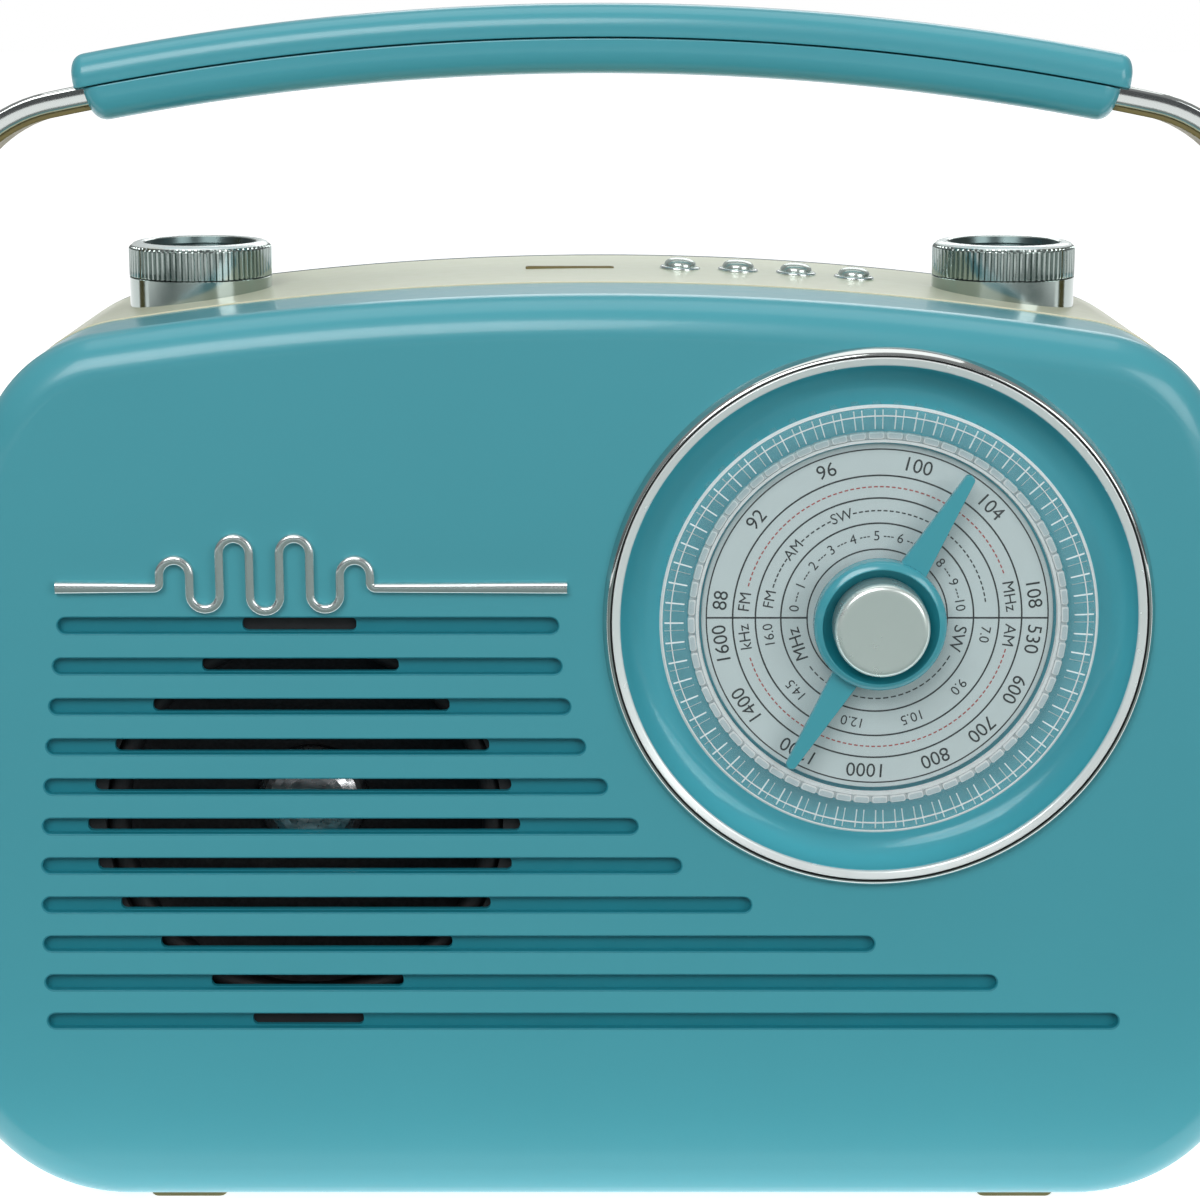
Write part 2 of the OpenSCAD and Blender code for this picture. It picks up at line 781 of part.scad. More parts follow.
module handle_liner() color(tan_brown) {
    difference() {
        bow_strip(-strap_t / 2, -strap_t / 2 - liner_t, strap_w - 2, pivot_z + 18);
        for (a = [84, 96]) rotate_about_bow(a) cylinder(r = 1.7, h = 12, center = true, $fn = 24);
    }
}

// Half of the grip's section: radius from the curve's centre against width
function grip_section(seam, far, half_w, round_r) = let (
    way = sign(far - seam),
    corner = [for (a = [0 : 15 : 90]) [far - way * round_r * (1 - sin(a)), half_w - round_r * (1 - cos(a))]]
) concat(
    [[seam, -half_w + 0.4], [seam + way * 0.4, -half_w]],
    [for (c = corner) [c[0], -c[1]]],
    [for (i = [6 : -1 : 0]) corner[i]],
    [[seam + way * 0.4, half_w], [seam, half_w - 0.4]]
);

module grip_half(seam, far, half_angle) {
    translate([0, top_y, handle_cz]) rotate([90, 0, 0]) rotate([0, 0, 90 - half_angle])
        rotate_extrude(angle = 2 * half_angle, $fn = 720)
            polygon(grip_section(seam, far, grip_half_w, grip_round));
}

module grip_channel() {
    pocket = strap_t / 2 + 0.1;
    bow_strip(pocket, -pocket - liner_t, strap_w + 0.4, 200);
}

module grip_top() color(teal) {
    difference() {
        grip_half(seam_r + 0.15, grip_top_r, top_half_angle);
        grip_channel();
        for (a = [84, 96]) rotate_about_bow(a) cylinder(r = 1.3, h = 6.5, $fn = 24);
    }
}

module grip_bottom() color(teal) {
    difference() {
        grip_half(seam_r - 0.15, grip_low_r, low_half_angle);
        grip_channel();
        for (a = [84, 96]) rotate_about_bow(a) {
            translate([0, 0, -12]) cylinder(r = 1.7, h = 12, $fn = 24);
            translate([0, 0, -8]) cylinder(r = 3.1, h = 3, $fn = 32);
        }
    }
}

module grip_screws() color(steel) {
    for (a = [84, 96]) rotate_about_bow(a) {
        translate([0, 0, -6.2]) cylinder(r = 2.9, h = 1.2, $fn = 32);
        translate([0, 0, -6]) cylinder(r = 1.3, h = 12, $fn = 24);
    }
}

washer_t = 0.5;

module pivot_screws() color(steel) {
    mirrored() {
        rod_x(144, boss_x, top_y, pivot_z, 2);
        rod_x(boss_x, arm_out + 0.05, top_y, pivot_z, 4);
        rod_x(arm_out + 0.05, arm_out + 1.2, top_y, pivot_z, 6);
    }
}

module pivot_caps() color(chrome) {
    mirrored() translate([arm_out + 0.3, top_y, pivot_z]) rotate([0, 90, 0]) difference() {
        rotate_extrude($fn = 64)
            polygon([[0, 0], [9, 0], [9, 1], [8.2, 1.7], [6, 2.2], [0, 2.3]]);
        translate([0, 0, -1]) cylinder(r = 6, h = 1.9, $fn = 48);
    }
}

module pivot_washers() color([0.9, 0.9, 0.86]) {
    mirrored() difference() {
        rod_x(boss_x, boss_x + washer_t - 0.05, top_y, pivot_z, 9.5);
        rod_x(boss_x - 1, boss_x + 2, top_y, pivot_z, 4);
    }
}

// ---- Loudspeaker ----

flange_d = 7;
gap_top = 33.5;

module speaker_frame() color(dark) {
    difference() {
        turned(speaker_x, speaker_z, [
            [46, flange_d], [51, flange_d], [51, 8.3], [47, 8.3], [27.5, gap_top], [14.5, gap_top],
            [14.5, 32.2], [26.5, 32.2], [46, 7.8]
        ]);
        for (a = [0 : 90 : 270]) translate([speaker_x, face_y, speaker_z]) rotate([0, a, 0])
            translate([26, 12, -13]) cube([24, 14, 26]);
    }
    for (p = speaker_spots) ear(p);
}

// Screw ear standing off the flange's edge
module ear(p) {
    difference() {
        rod_y(p[0], p[1], 4.2, flange_d, 8.3, 32);
        rod_y(speaker_x, speaker_z, 51, 0, 20, 128);
        rod_y(p[0], p[1], 1.4, 0, 20, 24);
    }
}

module speaker_gasket() color(dark) {
    turned(speaker_x, speaker_z, [
        [46, face_t], [51, face_t], [51, flange_d], [49.6, flange_d], [49.6, 6.5], [46, 6.5]
    ]);
}

module speaker_magnet() color(steel) {
    turned(speaker_x, speaker_z, [[13.4, gap_top], [26, gap_top], [26, 37], [13.4, 37]]);
    turned(speaker_x, speaker_z, [[15, 37], [30, 37], [30, 47], [15, 47]]);
    turned(speaker_x, speaker_z, [[0, gap_top], [11.4, gap_top], [11.4, 47], [26, 47], [26, 51], [0, 51]]);
}

module speaker_cone() color(dark) {
    turned(speaker_x, speaker_z, [[41.2, 9], [41.2, 9.8], [13, 24.8], [13, 23.9]]);
}

module speaker_surround() color([0.09, 0.09, 0.1]) {
    turned(speaker_x, speaker_z, concat(
        [[49.5, 7], [49.5, 6.5], [45.9, 6.5]],
        [for (a = [15 : 15 : 165]) [43.5 + 2.4 * cos(a), 6.6 - 2.2 * sin(a)]],
        [[41, 6.8], [41, 8.95], [41.4, 8.95], [41.5, 7]],
        [for (a = [165 : -15 : 15]) [43.5 + 1.9 * cos(a), 6.8 - 1.8 * sin(a)]],
        [[45.6, 7]]
    ));
}

// Aluminium dust cap on the voice coil former
module speaker_coil() color(chrome) {
    turned(speaker_x, speaker_z, concat(
        [[12, 37], [12.6, 37], [12.6, 23.5]],
        [for (a = [0 : 10 : 90]) [13 * cos(a), 23.2 - 6 * sin(a)]],
        [for (a = [90 : -10 : 0]) [12.2 * cos(a), 23.5 - 5.5 * sin(a)]],
        [[12, 24]]
    ));
}

module speaker_screws() color(steel) {
    for (p = speaker_spots) {
        rod_y(p[0], p[1], 2.6, 8.3, 9.8, 32);
        rod_y(p[0], p[1], 1.1, 4.5, 9, 24);
    }
}

// ---- Electronics ----

board_front = 32;
board_back = 33.6;

module main_board() color(board_green) {
    difference() {
        block(dial_x - 58.8, dial_x + 58.8, board_front, board_back, 60, 191);
        for (p = board_spots) rod_y(p[0], p[1], 1.4, 30, 36, 24);
    }
}

module board_parts() color(dark) {
    for (c = [[-30, 90], [-8, 90], [24, 96], [-34, 128]])
        block(dial_x + c[0] - 7, dial_x + c[0] + 7, board_back, board_back + 2.4, c[1] - 5, c[1] + 5);
    for (c = [[44, 84], [44, 98], [-44, 104], [-44, 74], [10, 74]])
        rod_y(dial_x + c[0], c[1], 4, board_back, board_back + 12, 32);
    for (c = [[-40, 160], [-26, 160], [-12, 160]])
        block(dial_x + c[0] - 4, dial_x + c[0] + 4, board_back, board_back + 9, c[1] - 4, c[1] + 4);
    block(dial_x + 20, dial_x + 46, board_back, board_back + 14, 140, 156);
}

module board_screws() color(steel) {
    for (p = board_spots) {
        rod_y(p[0], p[1], 2.6, board_back, board_back + 1.5, 32);
        rod_y(p[0], p[1], 1.1, 24, board_back + 1, 24);
    }
}

rod_depth = 80;
rod_height = 172;

module ferrite_aerial() color([0.2, 0.17, 0.15]) {
    rod_x(-50, 50, face_y + rod_depth, rod_height, 5);
    rod_x(-28, -6, face_y + rod_depth, rod_height, 6.2);
    rod_x(8, 24, face_y + rod_depth, rod_height, 6.2);
}

module ferrite_holders() color(cream) {
    for (x = [-42, 42]) difference() {
        block(x - 4, x + 4, rod_depth - 2, body_d - 3, rod_height - 8, rod_height + 8);
        rod_x(x - 5, x + 5, face_y + rod_depth, rod_height, 5);
    }
}

module power_jack() color(dark) {
    difference() {
        union() {
            block(jack_x - 7, jack_x + 7, 91, body_d - 6, power_z - 6, power_z + 6);
            rod_y(jack_x, power_z, 4.1, body_d - 7, body_d - 0.3);
        }
        rod_y(jack_x, power_z, 2.8, 96, body_d + 1);
    }
    rod_y(jack_x, power_z, 1.05, 95, body_d - 2, 24);
}

module headphone_jack() color(dark) {
    difference() {
        union() {
            block(jack_x - 6, jack_x + 6, 90, body_d - 6, phone_z - 5, phone_z + 5);
            rod_y(jack_x, phone_z, 4.1, body_d - 7, body_d - 0.3);
        }
        rod_y(jack_x, phone_z, 1.8, 93, body_d + 1, 32);
    }
}

// ---- Telescopic aerial: it lies along +X in its rebate, tilts out and then swings up ----

tube_r = 3.2;
rod_r = 2.7;
tube_x0 = aerial_x + 8;
tube_len = 216;
knuckle_r = 6;
knuckle_front = rebate_d + 0.1;

module aerial_base() color(chrome) {
    difference() {
        union() {
            rod_y(aerial_x, aerial_z, knuckle_r, knuckle_front, body_d - 1);
            rod_y(aerial_x, aerial_z, 2.5, 92.4, knuckle_front + 1);
            rod_y(aerial_x, aerial_z, 4.4, 91, band_end - 0.7);
        }
        block(aerial_x - 3.4, aerial_x + 8, 98.4, body_d + 1, aerial_z - 1.6, aerial_z + 1.6);
    }
    translate([aerial_x, face_y + aerial_d, aerial_z - 4]) cylinder(r = 1.2, h = 8, $fn = 32);
}

module aerial_tube() color(chrome) {
    difference() {
        rod_x(tube_x0 + 3, tube_x0 + tube_len, face_y + aerial_d, aerial_z, tube_r);
        rod_x(tube_x0 + 2, tube_x0 + tube_len + 1, face_y + aerial_d, aerial_z, rod_r + fit);
    }
    rod_x(tube_x0, tube_x0 + 3, face_y + aerial_d, aerial_z, tube_r);
    difference() {
        union() {
            translate([aerial_x, face_y + aerial_d, aerial_z - 1.5]) cylinder(r = 3, h = 3, $fn = 48);
            translate([aerial_x, face_y + aerial_d - 3, aerial_z - 1.5]) cube([8, 6, 3]);
        }
        translate([aerial_x, face_y + aerial_d, aerial_z - 3]) cylinder(r = 1.2 + fit, h = 6, $fn = 32);
    }
}

module aerial_rod() color(chrome) {
    tip_x = tube_x0 + tube_len + 5;
    rod_x(tube_x0 + 4, tip_x, face_y + aerial_d, aerial_z, rod_r);
    rod_x(tip_x, tip_x + 5, face_y + aerial_d, aerial_z, 3.4);
}

front_shell();
mid_frame();
rear_shell();
rear_ledge();
battery_door();
battery_contacts();
feet();
case_screws();
badge_trim();
dial_bezel();
dial_dish();
dial_scale();
tuning_wheel();
dial_pointer();
dial_cap();
dial_screw();
tuning_shaft();
tuning_capacitor();
volume_knob();
volume_shaft();
volume_control();
band_knob();
band_shaft();
band_switch();
knob_collars();
control_nuts();
button_1();
button_2();
button_3();
button_4();
button_collars();
button_board();
button_switches();
card_slot_trim();
card_reader();
grip_top();
grip_bottom();
handle_strap();
handle_liner();
grip_screws();
pivot_screws();
pivot_caps();
pivot_washers();
speaker_frame();
speaker_gasket();
speaker_magnet();
speaker_cone();
speaker_surround();
speaker_coil();
speaker_screws();
main_board();
board_parts();
board_screws();
ferrite_aerial();
ferrite_holders();
power_jack();
headphone_jack();
aerial_base();
aerial_tube();
aerial_rod();
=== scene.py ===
"""Retro portable radio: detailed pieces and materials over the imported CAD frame.

Shapes are worked out in millimetres: X to the right, Z up, and d the depth behind the flat front.
"""
import math

import bmesh
import bpy
import numpy as np
from mathutils import Matrix, Vector
from mathutils.geometry import delaunay_2d_cdt


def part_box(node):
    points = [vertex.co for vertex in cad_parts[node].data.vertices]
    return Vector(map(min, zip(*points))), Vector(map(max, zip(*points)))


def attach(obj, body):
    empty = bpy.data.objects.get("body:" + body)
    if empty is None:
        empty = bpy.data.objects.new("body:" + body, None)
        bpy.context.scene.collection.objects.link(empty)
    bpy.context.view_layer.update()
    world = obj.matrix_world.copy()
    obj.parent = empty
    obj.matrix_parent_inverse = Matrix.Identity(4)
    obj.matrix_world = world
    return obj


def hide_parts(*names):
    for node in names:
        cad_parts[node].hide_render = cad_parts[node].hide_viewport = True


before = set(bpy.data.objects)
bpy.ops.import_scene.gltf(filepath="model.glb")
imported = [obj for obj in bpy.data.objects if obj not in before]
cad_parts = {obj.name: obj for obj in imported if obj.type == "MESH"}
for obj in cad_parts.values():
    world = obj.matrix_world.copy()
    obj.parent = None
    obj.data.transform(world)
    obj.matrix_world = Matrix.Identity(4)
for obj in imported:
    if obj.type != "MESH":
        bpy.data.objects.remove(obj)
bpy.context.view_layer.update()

MM = 0.001


def cos(degrees):
    return math.cos(math.radians(degrees))


def sin(degrees):
    return math.sin(math.radians(degrees))


def between(start, end, steps):
    """Evenly spaced values from start to end, both included."""
    return [start + (end - start) * i / steps for i in range(steps + 1)]


def corners(node):
    low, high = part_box(node)
    return low / MM, high / MM


def middle(node):
    low, high = corners(node)
    return (low + high) / 2


# ---- Places taken from the CAD frame ----

FACE = corners("front_shell")[0].y
TOP_Y = middle("volume_knob").y
DIAL = middle("dial_bezel")
SPEAKER = middle("speaker_cone")
KNOB_X = middle("volume_knob").x
KNOBS = {"volume_knob": ("volume", KNOB_X), "band_knob": ("band", -KNOB_X)}


def at(x, z, d):
    """The point at x and z, at depth d behind the flat front."""
    return Vector((x, FACE + d, z))


# ---- Camera, first, so that every look uses the same view ----

camera_data = bpy.data.cameras.new("camera")
camera_data.lens = 86.25
camera_data.sensor_width = 36
camera = bpy.data.objects.new("camera", camera_data)
camera.location = (-0.00045, -0.6847, 0.292)
camera.rotation_euler = (math.radians(90 - 12.5), 0, 0)
bpy.context.scene.collection.objects.link(camera)
bpy.context.scene.camera = camera


# ---- Mesh building ----

class Form:
    """A mesh being built from rings of points, in millimetres."""

    def __init__(self):
        self.points = []
        self.faces = []

    def ring(self, points):
        start = len(self.points)
        self.points.extend(Vector(p) for p in points)
        return list(range(start, len(self.points)))

    def bridge(self, a, b, closed=True):
        count = len(a)
        for i in range(count if closed else count - 1):
            j = (i + 1) % count
            self.faces.append((a[i], a[j], b[j], b[i]))

    def chain(self, rings, loop=False):
        for a, b in zip(rings, rings[1:] + rings[:1] if loop else rings[1:]):
            self.bridge(a, b)

    def cap(self, ring):
        self.faces.append(tuple(ring))

    def plane(self, loops, flat=lambda p: (p.x, p.z)):
        """Fills the flat area inside the first loop and outside the others."""
        ids = [i for loop in loops for i in loop]
        spots = [Vector(flat(self.points[i])) for i in ids]
        edges = []
        for loop in loops:
            start = len(edges)
            edges += [(start + k, start + (k + 1) % len(loop)) for k in range(len(loop))]
        found, _, triangles, origin, _, _ = delaunay_2d_cdt(spots, edges, [], 0, 1e-6)
        place = np.array([tuple(p) for p in found])
        middles = place[np.array(triangles)].mean(axis=1)
        a = np.array([tuple(spots[i]) for i, _ in edges])
        b = np.array([tuple(spots[j]) for _, j in edges])
        x, y = middles[:, :1], middles[:, 1:]
        spans = (a[:, 1] > y) != (b[:, 1] > y)
        rise = np.where(b[:, 1] == a[:, 1], 1, b[:, 1] - a[:, 1])
        crossings = spans & (x < a[:, 0] + (y - a[:, 1]) * (b[:, 0] - a[:, 0]) / rise)
        inside = crossings.sum(axis=1) % 2 == 1
        for triangle, kept in zip(triangles, inside):
            if kept:
                self.faces.append(tuple(ids[origin[v][0]] for v in triangle))

    def box(self, x0, x1, d0, d1, z0, z1):
        """A closed box between two depths."""
        self.chain_caps([[at(x, z, d) for x, z in ((x0, z0), (x1, z0), (x1, z1), (x0, z1))]
                         for d in (d0, d1)])

    def chain_caps(self, loops):
        """A closed solid through successive loops of points, with flat convex ends."""
        rings = [self.ring(loop) for loop in loops]
        self.chain(rings)
        self.cap(rings[0])
        self.cap(rings[-1])

    def turn(self, profile, place, steps=96, loop=False):
        """A body turned from [radius, height] pairs. place(x, y, h) puts a point of it in the model."""
        rings = []
        for radius, height in profile:
            angles = [360 * i / steps for i in range(steps)]
            if radius < 1e-6:
                rings.append(self.ring([place(0, 0, height)]) * steps)
            else:
                rings.append(self.ring(place(radius * cos(a), radius * sin(a), height) for a in angles))
        for a, b in zip(rings, rings[1:] + rings[:1] if loop else rings[1:]):
            for i in range(steps):
                j = (i + 1) % steps
                face = []
                for v in (a[i], a[j], b[j], b[i]):
                    if v not in face:
                        face.append(v)
                if len(face) > 2:
                    self.faces.append(tuple(face))
        return rings


def along_y(x, z):
    """Places a turned body about an axis that runs along Y, with heights as depths."""
    return lambda u, v, h: at(x + u, z + v, h)


def along_z(x, y):
    return lambda u, v, h: Vector((x + u, y + v, h))


def along_x(y, z, side=1):
    return lambda u, v, h: Vector((side * h, y + u, z + v))


def rounded(profile, corners_at, steps=4):
    """The profile with the given corners rounded: corners_at maps an index to a radius."""
    out = []
    count = len(profile)
    for i, point in enumerate(profile):
        if i not in corners_at:
            out.append(tuple(point))
            continue
        here = Vector(point)
        before = (Vector(profile[i - 1]) - here)
        after = (Vector(profile[(i + 1) % count]) - here)
        reach = min(corners_at[i], before.length * 0.49, after.length * 0.49)
        start = here + before.normalized() * reach
        end = here + after.normalized() * reach
        for t in between(0, 1, steps):
            out.append(tuple(start * (1 - t) ** 2 + here * 2 * t * (1 - t) + end * t ** 2))
    return out


def box_loop(half_w, half_h, radius, steps=4):
    """Rounded rectangle about the origin."""
    radius = min(radius, half_w * 0.98, half_h * 0.98)
    return [
        (sx * (half_w - radius) + radius * cos(a), sz * (half_h - radius) + radius * sin(a))
        for sx, sz, first in ((1, 1, 0), (-1, 1, 90), (-1, -1, 180), (1, -1, 270))
        for a in between(first, first + 90, steps)
    ]


def stadium(x0, x1, z, height, steps=10):
    """Outline of a groove with round ends."""
    r = height / 2
    return [(x1 - r + r * cos(a), z + r * sin(a)) for a in between(-90, 90, steps)] + [
        (x0 + r + r * cos(a), z + r * sin(a)) for a in between(90, 270, steps)]


def turn_outwards(work):
    """Makes the faces of every closed part of a mesh point outwards."""
    bmesh.ops.recalc_face_normals(work, faces=work.faces)
    waiting = set(work.faces)
    while waiting:
        part = [waiting.pop()]
        for face in part:
            for edge in face.edges:
                for other in edge.link_faces:
                    if other in waiting:
                        waiting.remove(other)
                        part.append(other)
        volume = sum(face.calc_center_median().dot(face.normal) * face.calc_area() for face in part)
        if volume < 0:
            bmesh.ops.reverse_faces(work, faces=part)


def solid(form, name="solid"):
    """A plain object from a form, scaled to metres, with its faces turned outwards."""
    mesh = bpy.data.meshes.new(name)
    mesh.from_pydata([p * MM for p in form.points], [], form.faces)
    work = bmesh.new()
    work.from_mesh(mesh)
    turn_outwards(work)
    work.to_mesh(mesh)
    work.free()
    obj = bpy.data.objects.new(name, mesh)
    bpy.context.scene.collection.objects.link(obj)
    return obj


def merge(obj, tool, operation):
    """Cuts one object out of another, or joins it on, and removes it."""
    step = obj.modifiers.new("step", "BOOLEAN")
    step.operation = operation
    step.solver = "EXACT"
    step.object = tool
    result = bpy.data.meshes.new_from_object(obj.evaluated_get(bpy.context.evaluated_depsgraph_get()))
    obj.modifiers.clear()
    obj.data = result
    bpy.data.objects.remove(tool)


def combine(obj, form, operation="DIFFERENCE"):
    """Cuts a form out of an object, or joins it on."""
    merge(obj, solid(form, "tool"), operation)


def shade(obj, angle=32):
    """Smooth shading that keeps edges sharper than the angle."""
    obj.data.polygons.foreach_set("use_smooth", [True] * len(obj.data.polygons))
    obj.data.set_sharp_from_angle(angle=math.radians(angle))
    even = obj.modifiers.new("even", "WEIGHTED_NORMAL")
    even.keep_sharp = True


def piece(shape, name, body, material, replaces=(), angle=32, extras=()):
    """Finishes a form or object as a named piece.

    extras pairs a material with the faces of the form that have it.
    """
    obj = solid(shape) if isinstance(shape, Form) else shape
    obj.name = name
    obj.data.name = name
    obj.data.materials.clear()
    obj.data.materials.append(material)
    for number, (extra, faces) in enumerate(extras, 1):
        obj.data.materials.append(extra)
        for index in faces:
            obj.data.polygons[index].material_index = number
    shade(obj, angle)
    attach(obj, body)
    if replaces:
        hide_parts(*replaces)
    return obj


# ---- Materials ----

def srgb(r, g, b):
    """A colour given in 8-bit sRGB, as linear light."""
    return tuple(
        (c / 255 / 12.92 if c <= 10 else ((c / 255 + 0.055) / 1.055) ** 2.4) for c in (r, g, b))


def surface(name, colour, roughness, metallic=0.0, tone=0.03, tone_size=18.0, rough_tone=0.15,
            rough_size=4.0,
            grain=0.01, grain_size=0.35, coat=0.0, flakes=0.0):
    """Procedural finish: tone, rough_tone and grain (mm) vary its colour, roughness and height.

    tone_size, rough_size and grain_size (mm) say how wide the variations are.
    """
    mat = bpy.data.materials.new(name)
    mat.use_nodes = True
    nodes, links = mat.node_tree.nodes, mat.node_tree.links
    shader = nodes["Principled BSDF"]
    shader.inputs["Metallic"].default_value = metallic
    shader.inputs["Coat Weight"].default_value = coat
    shader.inputs["Coat Roughness"].default_value = 0.08
    place = nodes.new("ShaderNodeTexCoord")

    def noise(size, detail=3.0):
        node = nodes.new("ShaderNodeTexNoise")
        node.inputs["Scale"].default_value = 1 / (size * MM)
        node.inputs["Detail"].default_value = detail
        links.new(place.outputs["Object"], node.inputs["Vector"])
        return node.outputs["Fac"]

    def remap(value, low, high):
        node = nodes.new("ShaderNodeMapRange")
        node.inputs["From Min"].default_value = 0.3
        node.inputs["From Max"].default_value = 0.7
        node.inputs["To Min"].default_value = low
        node.inputs["To Max"].default_value = high
        links.new(value, node.inputs["Value"])
        return node.outputs["Result"]

    blend = nodes.new("ShaderNodeMix")
    blend.data_type = "RGBA"
    blend.inputs["A"].default_value = (*[c * (1 - tone) for c in colour], 1)
    blend.inputs["B"].default_value = (*[min(1, c * (1 + tone)) for c in colour], 1)
    links.new(remap(noise(tone_size), 0, 1), blend.inputs["Factor"])
    base = blend.outputs["Result"]
    if flakes:
        spots = nodes.new("ShaderNodeTexVoronoi")
        spots.inputs["Scale"].default_value = 1 / (0.22 * MM)
        links.new(place.outputs["Object"], spots.inputs["Vector"])
        sparkle = nodes.new("ShaderNodeMix")
        sparkle.data_type = "RGBA"
        sparkle.blend_type = "OVERLAY"
        sparkle.inputs["Factor"].default_value = flakes
        links.new(base, sparkle.inputs["A"])
        links.new(spots.outputs["Color"], sparkle.inputs["B"])
        base = sparkle.outputs["Result"]
    links.new(base, shader.inputs["Base Color"])
    links.new(
        remap(noise(rough_size), roughness * (1 - rough_tone), roughness * (1 + rough_tone)),
        shader.inputs["Roughness"])
    bump = nodes.new("ShaderNodeBump")
    bump.inputs["Strength"].default_value = 1.0
    bump.inputs["Distance"].default_value = grain * MM
    links.new(noise(grain_size, 1.0), bump.inputs["Height"])
    links.new(bump.outputs["Normal"], shader.inputs["Normal"])
    return mat


TEAL = srgb(73, 160, 173)
teal = surface("teal_plastic", TEAL, 0.30, tone=0.012, tone_size=60, rough_tone=0.08, grain=0.0006,
               coat=0.25)
teal_bowl = surface("teal_bowl", srgb(84, 181, 196), 0.22, tone=0.012, tone_size=40, rough_tone=0.08,
                    grain=0.0004, coat=0.5)
teal_pointer = surface("teal_pointer", srgb(70, 162, 176), 0.22, tone=0.012, tone_size=40, rough_tone=0.08,
                       grain=0.0004, coat=0.5)
# Darker teal for the front grooves and the pointer hub's recess: painted shade where these recesses fall in
# shadow.
teal_painted_shade = surface("teal_painted_shade", srgb(20, 127, 142), 0.5, tone=0.03, grain=0.002)
cream = surface("cream_pearl", srgb(218, 222, 196), 0.34, tone=0.012, tone_size=60, grain=0.0006, coat=0.2,
                flakes=0.03)
tan = surface("tan_plastic", srgb(118, 106, 62), 0.5, tone=0.06, grain=0.012)
# Pale cream for the thin line at the front seam: a painted highlight along the top plate's front edge.
front_edge_highlight = surface("front_edge_highlight", srgb(226, 219, 190), 0.4, tone=0.03, grain=0.002)
chrome = surface("chrome", (0.60, 0.635, 0.62), 0.06, metallic=1, tone=0.01, rough_tone=0.15, rough_size=9,
                 grain=0.0002)
satin = surface("satin_chrome", (0.72, 0.79, 0.78), 0.2, metallic=1, tone=0.015, rough_tone=0.1,
                grain=0.0004)
cap_metal = surface("cap_metal", (0.82, 0.91, 0.87), 0.28, metallic=0.75, tone=0.01, tone_size=30,
                    rough_tone=0.03, grain=0.0001)
button_metal = surface("button_metal", (0.57, 0.65, 0.61), 0.24, metallic=0.85, tone=0.015, rough_tone=0.06,
                       grain=0.0003)
# Near-white, half-metallic finish for the bezel band and the knobs' bevelled rims: a painted highlight that
# keeps them bright whatever they reflect.
rim_highlight_metal = surface("bright_rim", (0.92, 0.98, 0.97), 0.25, metallic=0.4, tone=0.02, rough_tone=0.1,
                    grain=0.0004)
knurled = surface("knurled_chrome", (0.39, 0.45, 0.43), 0.12, metallic=1, tone=0.03, rough_tone=0.15,
                  grain=0.0004)
# Dark metal for the knob's dished top: painted shade inside the deep dish.
knob_dish_shade = surface("knob_dish_shade", (0.13, 0.18, 0.18), 0.3, metallic=1, tone=0.05, rough_tone=0.15,
                     grain=0.001)
steel = surface("zinc_steel", (0.58, 0.58, 0.57), 0.3, metallic=1, tone=0.08, tone_size=2, rough_tone=0.3,
                grain=0.004)
brass = surface("brass", (0.72, 0.55, 0.27), 0.28, metallic=1, tone=0.08, tone_size=2, grain=0.003)
black = surface("black_plastic", (0.016, 0.016, 0.017), 0.42, tone=0.15, grain=0.012)
rubber = surface("black_rubber", (0.012, 0.012, 0.013), 0.62, tone=0.2, tone_size=6, grain=0.02)
paper = surface("paper_cone", (0.028, 0.028, 0.03), 0.8, tone=0.3, tone_size=0.9, grain=0.05,
                grain_size=0.25)
card = surface("scale_card", srgb(212, 221, 222), 0.36, tone=0.015, grain=0.002, coat=0.3)
ink_black = surface("black_ink", (0.012, 0.016, 0.018), 0.4, tone=0.2, tone_size=1.5, grain=0.002)
ink_red = surface("red_ink", srgb(176, 72, 66), 0.45, tone=0.1, tone_size=1.5, grain=0.002)
nylon = surface("nylon", (0.74, 0.73, 0.67), 0.45, tone=0.04, grain=0.01)
ferrite = surface("ferrite", (0.045, 0.04, 0.038), 0.6, tone=0.25, tone_size=1.2, grain=0.03)
board_green = surface("board_mask", (0.03, 0.17, 0.07), 0.3, tone=0.35, tone_size=2.2, grain=0.02,
                      grain_size=1.2, coat=0.3)
aluminium = surface("dust_cap_aluminium", (0.84, 0.85, 0.86), 0.26, metallic=1, tone=0.03, rough_tone=0.3,
                    grain=0.004)
flag_mat = surface("flag_card", (0.22, 0.27, 0.26), 0.9, tone=0.02, tone_size=300, grain=0.0)
floor_mat = surface("floor_paper", (0.90, 0.90, 0.90), 0.9, tone=0.004, tone_size=400, grain=0.0)


def clear_finish(name, tint, body_colour, solidity, roughness):
    """Clear plastic: a share of tinted body over what is behind it."""
    mat = surface(name, body_colour, roughness, tone=0.04, tone_size=3, grain=0.004, grain_size=1.0)
    nodes, links = mat.node_tree.nodes, mat.node_tree.links
    through = nodes.new("ShaderNodeBsdfTransparent")
    through.inputs["Color"].default_value = (*tint, 1)
    mix = nodes.new("ShaderNodeMixShader")
    mix.inputs["Fac"].default_value = solidity
    links.new(through.outputs["BSDF"], mix.inputs[1])
    links.new(nodes["Principled BSDF"].outputs["BSDF"], mix.inputs[2])
    links.new(mix.outputs["Shader"], nodes["Material Output"].inputs["Surface"])
    return mat


clear = clear_finish("clear_plastic", (0.88, 0.96, 0.965), (0.66, 0.83, 0.86), 0.12, 0.06)
# Nearly opaque near-white clear plastic for the wheel's rib flanks and the rim's outer front edge: painted
# highlights on the clear rim.
clear_rim_glint = clear_finish("clear_rim_glint", (0.86, 0.94, 0.94), (0.90, 1.0, 1.0), 0.82, 0.15)
clear_plate = clear_finish("clear_plate", (0.97, 0.985, 0.985), (0.80, 0.86, 0.88), 0.035, 0.05)
